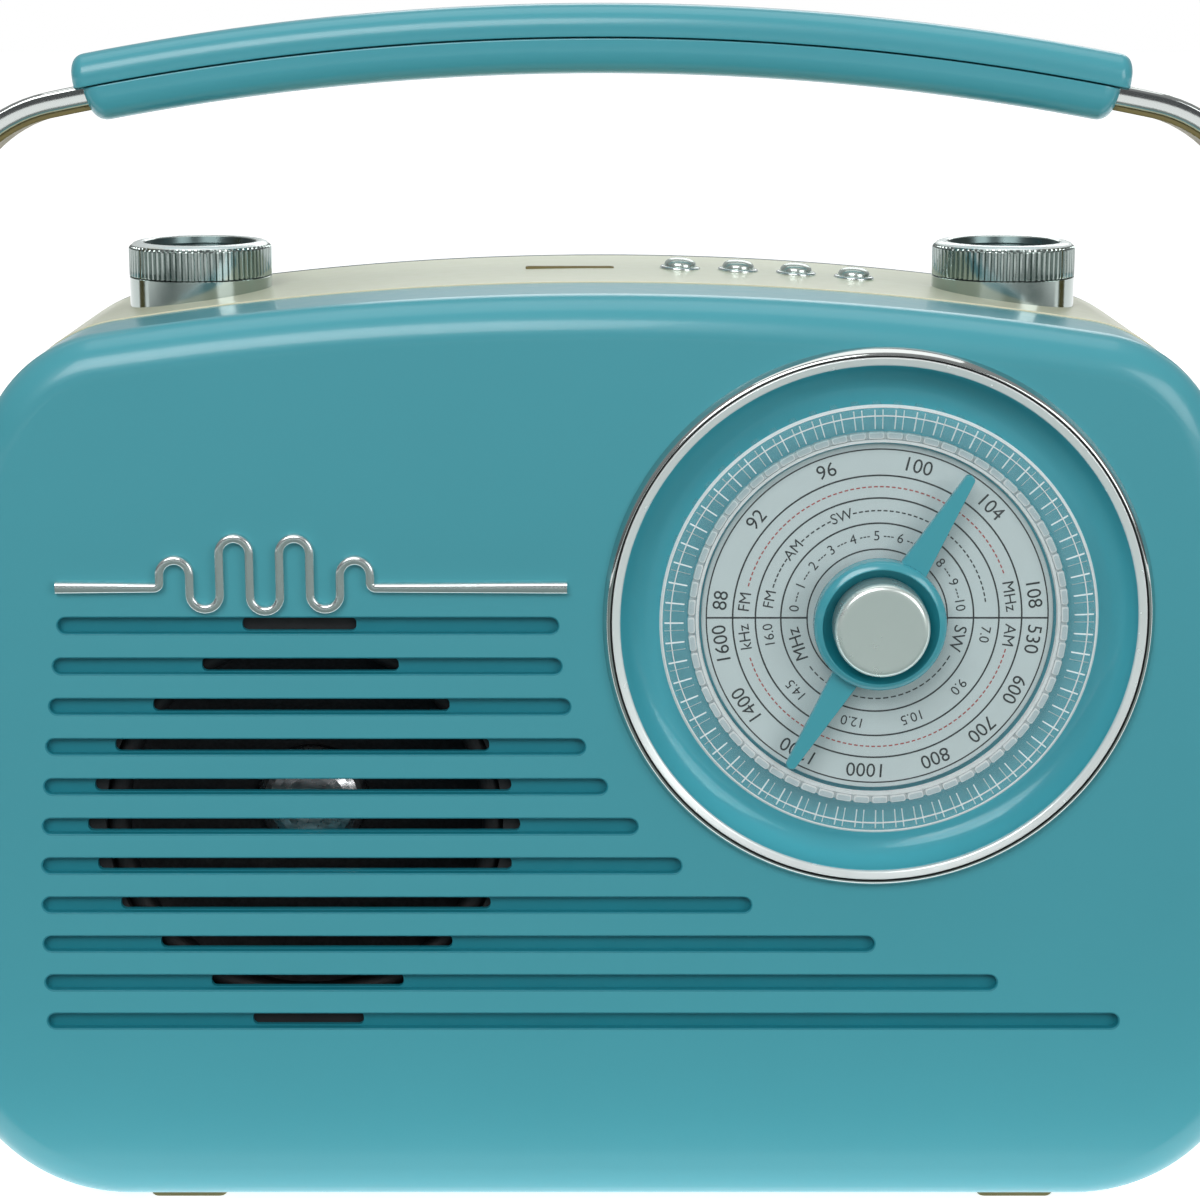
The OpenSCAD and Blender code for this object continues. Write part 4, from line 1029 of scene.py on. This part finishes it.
def pointer():
    form = Form()
    recess = [(1.3, -2.5), (11.0, -2.5), (11.1, -2.9), (13.05, -5.9), (13.2, -6.1)]
    rim = [(13.45, -6.15), (14.3, -5.75), (14.8, -5.25), (15, -4.6), (15, -1.3), (1.3, -1.3)]
    steps = 128
    form.turn(recess + rim, along_y(DIAL.x, DIAL.z), steps, loop=True)
    # The recess faces take the darker teal: painted shade inside the hub's recess.
    recess_faces = range((len(recess) - 1) * steps)
    tilt = 59.4
    for turn in (tilt, tilt + 180):
        loops = []
        for d, cut in ((-1.32, 0), (-2.55, 0), (-2.8, 0.1), (-2.9, 0.32)):
            tip = [(38.2 + (1.2 - cut) * cos(a), (1.25 - cut) * sin(a)) for a in between(75, -75, 8)]
            shape = [(14.4, 3.3 - cut)] + tip + [(14.4, -3.3 + cut)]
            loops.append([at(DIAL.x + u * cos(turn) - v * sin(turn), DIAL.z + u * sin(turn) + v * cos(turn),
                             d) for u, v in shape])
        form.chain_caps(loops)
    piece(form, "dial_pointer_skin", "tuner", teal_pointer, ["dial_pointer"],
          extras=[(teal_painted_shade, recess_faces)])


def cap():
    front = -10.6
    profile = [(0, front + 0.12), (4, front + 0.1), (8.6, front + 0.04)]
    profile += [(9.2 + 1.5 * sin(a), front + 1.5 - 1.5 * cos(a)) for a in between(0, 90, 8)]
    profile += [(10.8, front + 1.9), (10.8, -2.6), (9.2, -2.6), (9.2, front + 2), (0, front + 2)]
    form = Form()
    form.turn(profile, along_y(DIAL.x, DIAL.z), 128)
    piece(form, "dial_cap_skin", "tuner", cap_metal, ["dial_cap"], angle=40)


# ---- Knobs, buttons and card slot ----

def knob(node, body, x):
    """Knurled knob with a bevelled rim and a dished top."""
    teeth = 72
    # One tooth: where along its pitch each point stands, and how far it is raised
    tooth = [(0.0, 0), (0.15, 1), (0.3, 1), (0.45, 1), (0.6, 0), (0.8, 0)]
    spots = [(360 * (i + share) / teeth, raised) for i in range(teeth) for share, raised in tooth]
    top = corners(node)[1].z
    levels = [
        (218.1, 16.6, 0.42), (218.25, 16.6, 0.58), (219.5, 16.6, 0.58), (top - 1.6, 16.6, 0.58),
        (top - 1.2, 16.6, 0.4), (top - 0.9, 16.55, 0.1), (top - 0.75, 16.5, 0), (top - 0.35, 16.05, 0),
        (top - 0.1, 15.4, 0), (top, 14.7, 0), (top - 0.03, 14.1, 0), (top - 0.15, 13.7, 0),
        (top - 0.35, 13.45, 0), (top - 1.8, 13.1, 0), (top - 2.0, 12.6, 0), (top - 2.05, 11, 0),
        (top - 2.1, 6, 0),
    ]
    place = along_z(x, TOP_Y)
    form = Form()
    rings = []
    for z, base, height in levels:
        reach = [(base + height * raised, angle) for angle, raised in spots]
        rings.append(form.ring(place(r * cos(angle), r * sin(angle), z) for r, angle in reach))
    form.chain(rings)
    bore = [form.ring(place(3 * cos(angle), 3 * sin(angle), z) for angle, _ in spots)
            for z in (218.1, 222.8)]
    form.chain([rings[0]] + bore)
    form.cap(rings[-1])
    form.cap(bore[-1])
    # The bevelled rim faces take the bright finish: a painted highlight.
    rim_faces = range(6 * len(spots), 11 * len(spots))
    # The dish faces take the dark metal: painted shade inside the dish.
    dish_faces = range(12 * len(spots), len(form.faces))
    piece(form, node + "_skin", body, knurled, [node], angle=28,
          extras=[(rim_highlight_metal, rim_faces), (knob_dish_shade, dish_faces)])


def knob_collars():
    form = Form()
    for _, x in KNOBS.values():
        profile = [(17.05, 217.9), (17.17, 217.8), (17.17, 211), (17.17, 205), (9.2, 205), (9.2, 217.9)]
        form.turn(profile, along_z(x, TOP_Y), 96, loop=True)
    obj = solid(form)
    inside = Form()
    inside.chain_caps([case_loop(0, 0.05), case_loop(110, 0.05)])
    combine(obj, inside)
    piece(obj, "knob_collars_skin", "case", knurled, ["knob_collars"])


def buttons():
    for i in range(4):
        r = BUTTON_R
        form = Form()
        profile = [(0, -6.2), (1.8, -6.2), (1.8, -3.9), (r + 1, -3.9), (r + 1, -2.9), (r, -2.9), (r, 0.7),
                   (r - 0.02, 0.9)]
        profile += [((r - 0.05) * cos(a) ** 0.8, 0.95 + 1.75 * sin(a))
                    for a in between(8, 82, 10)] + [(0, 2.7)]
        form.turn(profile, along_button(i), 64)
        name = "button_%d" % (i + 1)
        piece(form, name + "_skin", name, button_metal, [name], angle=40)
    rims = Form()
    for i in range(4):
        r = BUTTON_R
        rims.turn(rounded([(r + 0.15, -1.5), (r + 1, -1.5), (r + 1, 0.3), (r + 0.75, 0.62),
                           (r + 0.15, 0.7)], {2: 0.2, 3: 0.2, 4: 0.15}),
                  along_button(i), 64, loop=True)
    obj = solid(rims)
    piece(obj, "button_rims", "case", satin, ["button_collars"], angle=40)


def card_slot():
    form = Form()
    levels = ((217.2, 0.0), (219.85, 0.0), (219.98, 0.12), (219.98, 0.45), (219.8, 0.6), (217.2, 0.6))
    rings = [
        form.ring(Vector((CARD_X + x, TOP_Y + y, z))
                  for x, y in box_loop(CARD_W / 2 - cut, 1.3 - cut, 0.5, 3))
        for z, cut in levels
    ]
    form.chain(rings, loop=True)
    piece(form, "card_slot_rim", "case", tan, ["card_slot_trim"])


# ---- Handle ----

ARM_X, STRAP_TOP, HANDLE_R, BEND_R = 159.5, 273.0, 648.0, 35.0
HANDLE_Z = STRAP_TOP - HANDLE_R
BEND_X = ARM_X - BEND_R
BEND_Z = HANDLE_Z + math.sqrt((HANDLE_R - BEND_R) ** 2 - BEND_X ** 2)
BEND_TURN = turn_of(BEND_X, BEND_Z - HANDLE_Z)


def bow(foot_levels):
    """Stations along the strap's middle, from one foot to the other: x, z and the outward angle."""
    side = [(ARM_X, z, 0) for z in foot_levels]
    side += [(BEND_X + BEND_R * cos(a), BEND_Z + BEND_R * sin(a), a) for a in between(0, BEND_TURN, 18)]
    top = [(HANDLE_R * cos(a), HANDLE_Z + HANDLE_R * sin(a), a)
           for a in between(BEND_TURN, 180 - BEND_TURN, 48)[1:-1]]
    return side + top + [(-x, z, 180 - a) for x, z, a in reversed(side)]


def strip(form, stations, middle_off, half_t, half_w_at, radius):
    """Sweeps a rounded strip along stations. half_w_at gives its half width at a station."""
    loops = []
    for x, z, a in stations:
        half_w = half_w_at(z)
        loops.append([
            Vector((x + (middle_off + u) * cos(a), TOP_Y + v, z + (middle_off + u) * sin(a)))
            for u, v in box_loop(half_t, half_w, min(radius, half_w * 0.9), 3)
        ])
    form.chain_caps(loops)


def handle():
    pivot_z = PIVOT.z
    eye = 11.0

    def strap_width(z):
        rise = z - pivot_z
        if rise > 7.5:
            return 8
        return math.sqrt(max(0.2, eye ** 2 - rise ** 2))

    feet_levels = [pivot_z - eye * cos(a) for a in between(4, 132, 26)]
    feet_levels += between(pivot_z + 7.6, BEND_Z - 2, 8)
    form = Form()
    strip(form, bow(feet_levels), 0, 2.5, strap_width, 1.0)
    obj = solid(form)
    holes = Form()
    for side in (-1, 1):
        rod(holes, 4.05, 150, 170, along_x(TOP_Y, pivot_z, side))
    combine(obj, holes)
    piece(obj, "handle_strap_skin", "handle", chrome, ["handle_strap"])

    liner = Form()
    strip(liner, bow([pivot_z + 18] + between(pivot_z + 24, BEND_Z - 2, 4)), -3.05, 0.65, lambda z: 7, 0.3)
    piece(liner, "handle_liner_skin", "handle", tan, ["handle_liner"])


def grip_half(name, seam, far, half_angle, end_r, node):
    """One half of the grip: a D-shaped section swept along the bow, rounded over at both ends."""
    way = 1 if far > seam else -1
    half_w, round_r = 11.0, 5.5
    length = math.radians(2 * half_angle) * HANDLE_R
    marks = [end_r * (1 - cos(a)) for a in between(0, 90, 7)]
    spots = marks + between(end_r, length - end_r, 48)[1:-1] + [length - m for m in reversed(marks)]
    loops = []
    for s in spots:
        to_end = min(s, length - s)
        back = end_r - math.sqrt(max(0, end_r ** 2 - max(0, end_r - to_end) ** 2))
        angle = 90 + half_angle - math.degrees(s / HANDLE_R)
        f, w = far - way * back, half_w - back * 0.9
        r = min(round_r, w - 1, abs(f - seam) - 0.5)
        side = [(seam, w - 0.45), (seam + way * 0.12, w - 0.12), (seam + way * 0.45, w)]
        side += [(f - way * r * (1 - sin(t)), w - r * (1 - cos(t))) for t in between(0, 90, 8)]
        section = side + [(q, -v) for q, v in reversed(side)]
        loops.append([Vector((q * cos(angle), TOP_Y + v, HANDLE_Z + q * sin(angle))) for q, v in section])
    form = Form()
    form.chain_caps(loops)
    piece(form, name, "handle", teal, [node])


def pivots():
    washers, screws, caps = Form(), Form(), Form()
    for side in (-1, 1):
        place = along_x(TOP_Y, PIVOT.z, side)
        washers.turn([(4, 156.5), (9.5, 156.5), (9.5, 156.95), (4, 156.95)], place, 64, loop=True)
        rod(screws, 2, 144, 156.4, place, 32)
        screws.turn([(0, 156.4), (4, 156.4), (4, 162.05), (6, 162.05), (6, 163.1), (5.7, 163.2),
                     (0, 163.2)], place, 48)
        caps.turn(
            [(0, 163.3), (6.05, 163.3), (6.05, 162.3), (8.9, 162.3), (9, 162.4), (9, 162.9), (8.8, 163.35),
             (8.3, 163.7), (7.6, 163.78), (7.3, 163.62), (7.05, 163.62), (6.6, 163.95), (5.2, 164.35),
             (3, 164.55), (0, 164.6)], place, 96)
    piece(washers, "pivot_washers_skin", "case", nylon, ["pivot_washers"])
    piece(screws, "pivot_screws_skin", "case", steel, ["pivot_screws"])
    piece(caps, "pivot_caps_skin", "case", chrome, ["pivot_caps"], angle=40)


# ---- Telescopic aerial, jacks and rear screws ----

def aerial():
    y = FACE + AERIAL_D
    place = along_x(y, AERIAL_Z)
    base = Form()
    base.turn(rounded([(0, 96.6), (6, 96.6), (6, 106.1), (5.2, 107), (0, 107)], {1: 0.3, 2: 0.5, 3: 0.5}),
              along_y(AERIAL_X, AERIAL_Z), 64)
    obj = solid(base)
    slot = Form()
    slot.box(AERIAL_X - 3.4, AERIAL_X + 8, 98.4, 110, AERIAL_Z - 1.6, AERIAL_Z + 1.6)
    combine(obj, slot)
    fixings = Form()
    rod(fixings, 2.5, 92.4, 97, along_y(AERIAL_X, AERIAL_Z))
    fixings.turn([(0, 91), (4.2, 91), (4.4, 91.2), (4.4, 93.2), (0, 93.2)], along_y(AERIAL_X, AERIAL_Z), 48)
    combine(obj, fixings, "UNION")
    piece(obj, "aerial_knuckle", "aerial_base", chrome, ["aerial_base"], angle=40)
    pin = Form()
    pin.turn(rounded([(0, AERIAL_Z - 5.4), (1.2, AERIAL_Z - 5.4), (1.2, AERIAL_Z + 5.4),
                      (0, AERIAL_Z + 5.4)], {1: 0.3, 2: 0.3}),
             along_z(AERIAL_X, y), 32)
    piece(pin, "aerial_pin", "aerial_base", steel)

    x0 = AERIAL_X + 8
    tube_form = Form()
    tube_form.turn(
        [(0, x0), (2.6, x0), (3.1, x0 + 0.5), (3.2, x0 + 1), (3.2, x0 + 5), (2.95, x0 + 5.3),
         (2.95, x0 + 5.9), (3.2, x0 + 6.2), (3.2, x0 + 212.5), (3.05, x0 + 213), (3.2, x0 + 213.5),
         (3.2, x0 + 215.6), (3.05, x0 + 216), (2.76, x0 + 216), (2.76, x0 + 3), (0, x0 + 3)], place, 48)
    tube_obj = solid(tube_form)
    tongue = Form()
    tongue.chain_caps([
        [Vector((x, yy, z)) for x, yy in
         [(AERIAL_X + 3 * cos(a), y + 3 * sin(a)) for a in between(90, 270, 16)]
         + [(x0 + 0.6, y - 2.4), (x0 + 0.6, y + 2.4)]]
        for z in (AERIAL_Z - 1.45, AERIAL_Z + 1.45)
    ])
    combine(tube_obj, tongue, "UNION")
    eye = Form()
    rod(eye, 1.26, AERIAL_Z - 3, AERIAL_Z + 3, along_z(AERIAL_X, y), 32)
    combine(tube_obj, eye)
    piece(tube_obj, "aerial_tube_skin", "aerial_tube", chrome, ["aerial_tube"], angle=40)

    tip = x0 + 221
    rod_form = Form()
    rod_form.turn(
        [(0, x0 + 4), (2.6, x0 + 4), (2.7, x0 + 4.2), (2.7, tip), (3.1, tip), (3.4, tip + 0.3),
         (3.4, tip + 1.4), (3.0, tip + 1.7), (3.4, tip + 2.0), (3.4, tip + 4.3), (3.1, tip + 4.8),
         (2.4, tip + 5), (0, tip + 5)], place, 48)
    piece(rod_form, "aerial_rod_skin", "aerial_rod", chrome, ["aerial_rod"], angle=40)


def rear_details():
    heads = Form()
    for x, z in POSTS:
        heads.turn([(0, 42), (1.28, 42), (1.28, 70.1), (3, 70.1), (3, 71.2), (2.7, 72.0), (2.1, 72.35),
                    (0, 72.4)],
                   along_y(x, z), 32)
    obj = solid(heads)
    cross = Form()
    for x, z in POSTS:
        arm, half = 1.9, 0.38
        plus = [(arm, -half), (arm, half), (half, half), (half, arm), (-half, arm), (-half, half),
                (-arm, half), (-arm, -half), (-half, -half), (-half, -arm), (half, -arm), (half, -half)]
        rings = [cross.ring(at(x + u * grow, z + v * grow, d) for u, v in plus)
                 for d, grow in ((71.1, 0.5), (73, 1.1))]
        cross.chain(rings)
        cross.plane([rings[0]])
        cross.plane([rings[1]])
    combine(obj, cross)
    piece(obj, "case_screw_heads", "case", steel, ["case_screws"], angle=40)

    rings = Form()
    for z, bore, outer in ((JACK_HEIGHTS[0], 2.8, 4.1), (JACK_HEIGHTS[1], 1.8, 4.1)):
        rings.turn(rounded([(bore + 0.02, 100), (outer, 100), (outer, 107.6), (outer - 0.3, 107.8),
                            (bore + 0.3, 107.8), (bore + 0.02, 107.5)],
                           {2: 0.15, 3: 0.2, 4: 0.2}), along_y(JACK_X, z), 64, loop=True)
    piece(rings, "jack_faces", "case", black)
    collar = Form()
    collar.turn(rounded([(1.84, 103), (2.7, 103), (2.7, 107.84), (2.45, 107.95), (1.95, 107.95),
                         (1.84, 107.8)], {3: 0.15, 4: 0.1}),
                along_y(JACK_X, JACK_HEIGHTS[1]), 48, loop=True)
    piece(collar, "headphone_collar", "case", brass)


# ---- Making everything ----

front_shell()
mid_frame()
# The front seam line is a painted highlight along the top plate's front edge.
seam_line("front_seam", BAND_START - 0.06, BAND_START + 0.4, 0.03, 1.2, front_edge_highlight)
seam_line("rear_seam", BAND_END - 0.06, BAND_END + 1.94, 0.04, 1.0, black)
rear_shell()
battery_door()
feet()
badge()
bezel()
dish()
scale_disc()
dial_print()
wheel()
pointer()
cap()
for node_name, (body_name, knob_x) in KNOBS.items():
    knob(node_name, body_name, knob_x)
knob_collars()
buttons()
card_slot()
handle()
grip_half("grip_upper", 649.95, 657.6, 11.1, 3.4, "grip_top")
grip_half("grip_lower", 649.65, 641.3, 10.93, 4.7, "grip_bottom")
pivots()
aerial()
rear_details()

CAD_FINISHES = {
    steel: ["battery_contacts", "dial_screw", "tuning_shaft", "volume_shaft", "volume_control",
            "band_shaft", "control_nuts",
            "card_reader", "grip_screws", "speaker_screws", "board_screws", "speaker_magnet"],
    nylon: ["tuning_capacitor", "ferrite_holders"],
    black: ["band_switch", "button_switches", "speaker_frame", "board_parts", "power_jack",
            "headphone_jack"],
    rubber: ["speaker_gasket", "speaker_surround"],
    paper: ["speaker_cone"],
    aluminium: ["speaker_coil"],
    board_green: ["button_board", "main_board"],
    ferrite: ["ferrite_aerial"],
}
for material, names in CAD_FINISHES.items():
    for node_name in names:
        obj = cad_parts[node_name]
        obj.data.materials.clear()
        obj.data.materials.append(material)
        shade(obj)

# ---- Floor, lights and surroundings ----

FLOOR_HALF, FLOOR_Z = 9000, -0.05
FLAG_HALF, FLAG_FAR, FLAG_NEAR = 2000, -2200, -88


def level_sheet(half_x, y0, y1, z):
    """Corners of a level rectangle."""
    return [Vector(p) for p in ((-half_x, y0, z), (half_x, y0, z), (half_x, y1, z), (-half_x, y1, z))]


floor = Form()
floor.faces.append((0, 1, 2, 3))
floor.points += level_sheet(FLOOR_HALF, -FLOOR_HALF, FLOOR_HALF, FLOOR_Z)
floor_obj = solid(floor, "floor")
glow = floor_mat.node_tree.nodes["Principled BSDF"]
glow.inputs["Emission Color"].default_value = (1, 1, 1, 1)
glow.inputs["Emission Strength"].default_value = 0.82
floor_obj.data.materials.append(floor_mat)

# A grey card on the floor in front, out of the picture, gives the chrome something dark to reflect
flag = Form()
flag.chain_caps([level_sheet(FLAG_HALF, FLAG_FAR, FLAG_NEAR, z) for z in (0, 1)])
flag_obj = solid(flag, "flag")
flag_obj.data.materials.append(flag_mat)
flag_obj.visible_camera = False


# Soft boxes: where each stands, the height it points at, its width and height, and its power
LIGHTS = {
    "key": ((-0.5, -1.5, 1.3), 0.12, 1.2, 0.9, 18.2),
    "fill": ((1.2, -1.3, 0.7), 0.12, 0.9, 0.9, 8.3),
    "top": ((0, 0.15, 1.5), 0.1, 1.4, 0.9, 4.6),
    "back": ((0.3, 1.6, 1.0), 0.12, 1.2, 0.7, 4.6),
}
for name, (place, target_z, width, height, power) in LIGHTS.items():
    light = bpy.data.lights.new(name, "AREA")
    light.shape = "RECTANGLE"
    light.size, light.size_y = width, height
    light.energy = power
    obj = bpy.data.objects.new(name, light)
    obj.location = place
    obj.rotation_euler = (Vector((0, 0, target_z)) - Vector(place)).to_track_quat("-Z", "Y").to_euler()
    bpy.context.scene.collection.objects.link(obj)

world = bpy.data.worlds.new("studio")
bpy.context.scene.world = world
world.use_nodes = True
nodes, links = world.node_tree.nodes, world.node_tree.links
sky = nodes["Background"]
sky.inputs["Strength"].default_value = 0.355
seen = nodes.new("ShaderNodeBackground")
seen.inputs["Color"].default_value = (1, 1, 1, 1)
seen.inputs["Strength"].default_value = 1.0
rays = nodes.new("ShaderNodeLightPath")
pick = nodes.new("ShaderNodeMixShader")
links.new(rays.outputs["Is Camera Ray"], pick.inputs["Fac"])
links.new(sky.outputs["Background"], pick.inputs[1])
links.new(seen.outputs["Background"], pick.inputs[2])
links.new(pick.outputs["Shader"], nodes["World Output"].inputs["Surface"])
direction = nodes.new("ShaderNodeTexCoord")
parts = nodes.new("ShaderNodeSeparateXYZ")
ramp = nodes.new("ShaderNodeValToRGB")
links.new(direction.outputs["Generated"], parts.inputs["Vector"])
links.new(parts.outputs["Z"], ramp.inputs["Fac"])
# Behind the radio stands a white backdrop, which the top surfaces reflect
behind = nodes.new("ShaderNodeMapRange")
behind.interpolation_type = "SMOOTHSTEP"
behind.inputs["From Min"].default_value = 0.45
behind.inputs["From Max"].default_value = 0.85
links.new(parts.outputs["Y"], behind.inputs["Value"])
backdrop = nodes.new("ShaderNodeMix")
backdrop.data_type = "RGBA"
backdrop.clamp_result = False
backdrop.inputs["B"].default_value = (1.3, 1.34, 1.32, 1)
links.new(behind.outputs["Result"], backdrop.inputs["Factor"])
links.new(ramp.outputs["Color"], backdrop.inputs["A"])
links.new(backdrop.outputs["Result"], sky.inputs["Color"])
ramp.color_ramp.elements[0].position = 0.0
ramp.color_ramp.elements[0].color = (0.30, 0.31, 0.32, 1)
ramp.color_ramp.elements[1].position = 0.9
ramp.color_ramp.elements[1].color = (1.0, 1.0, 1.0, 1)
step = ramp.color_ramp.elements.new(0.35)
step.color = (0.75, 0.76, 0.78, 1)

bpy.context.scene.view_settings.view_transform = "Standard"
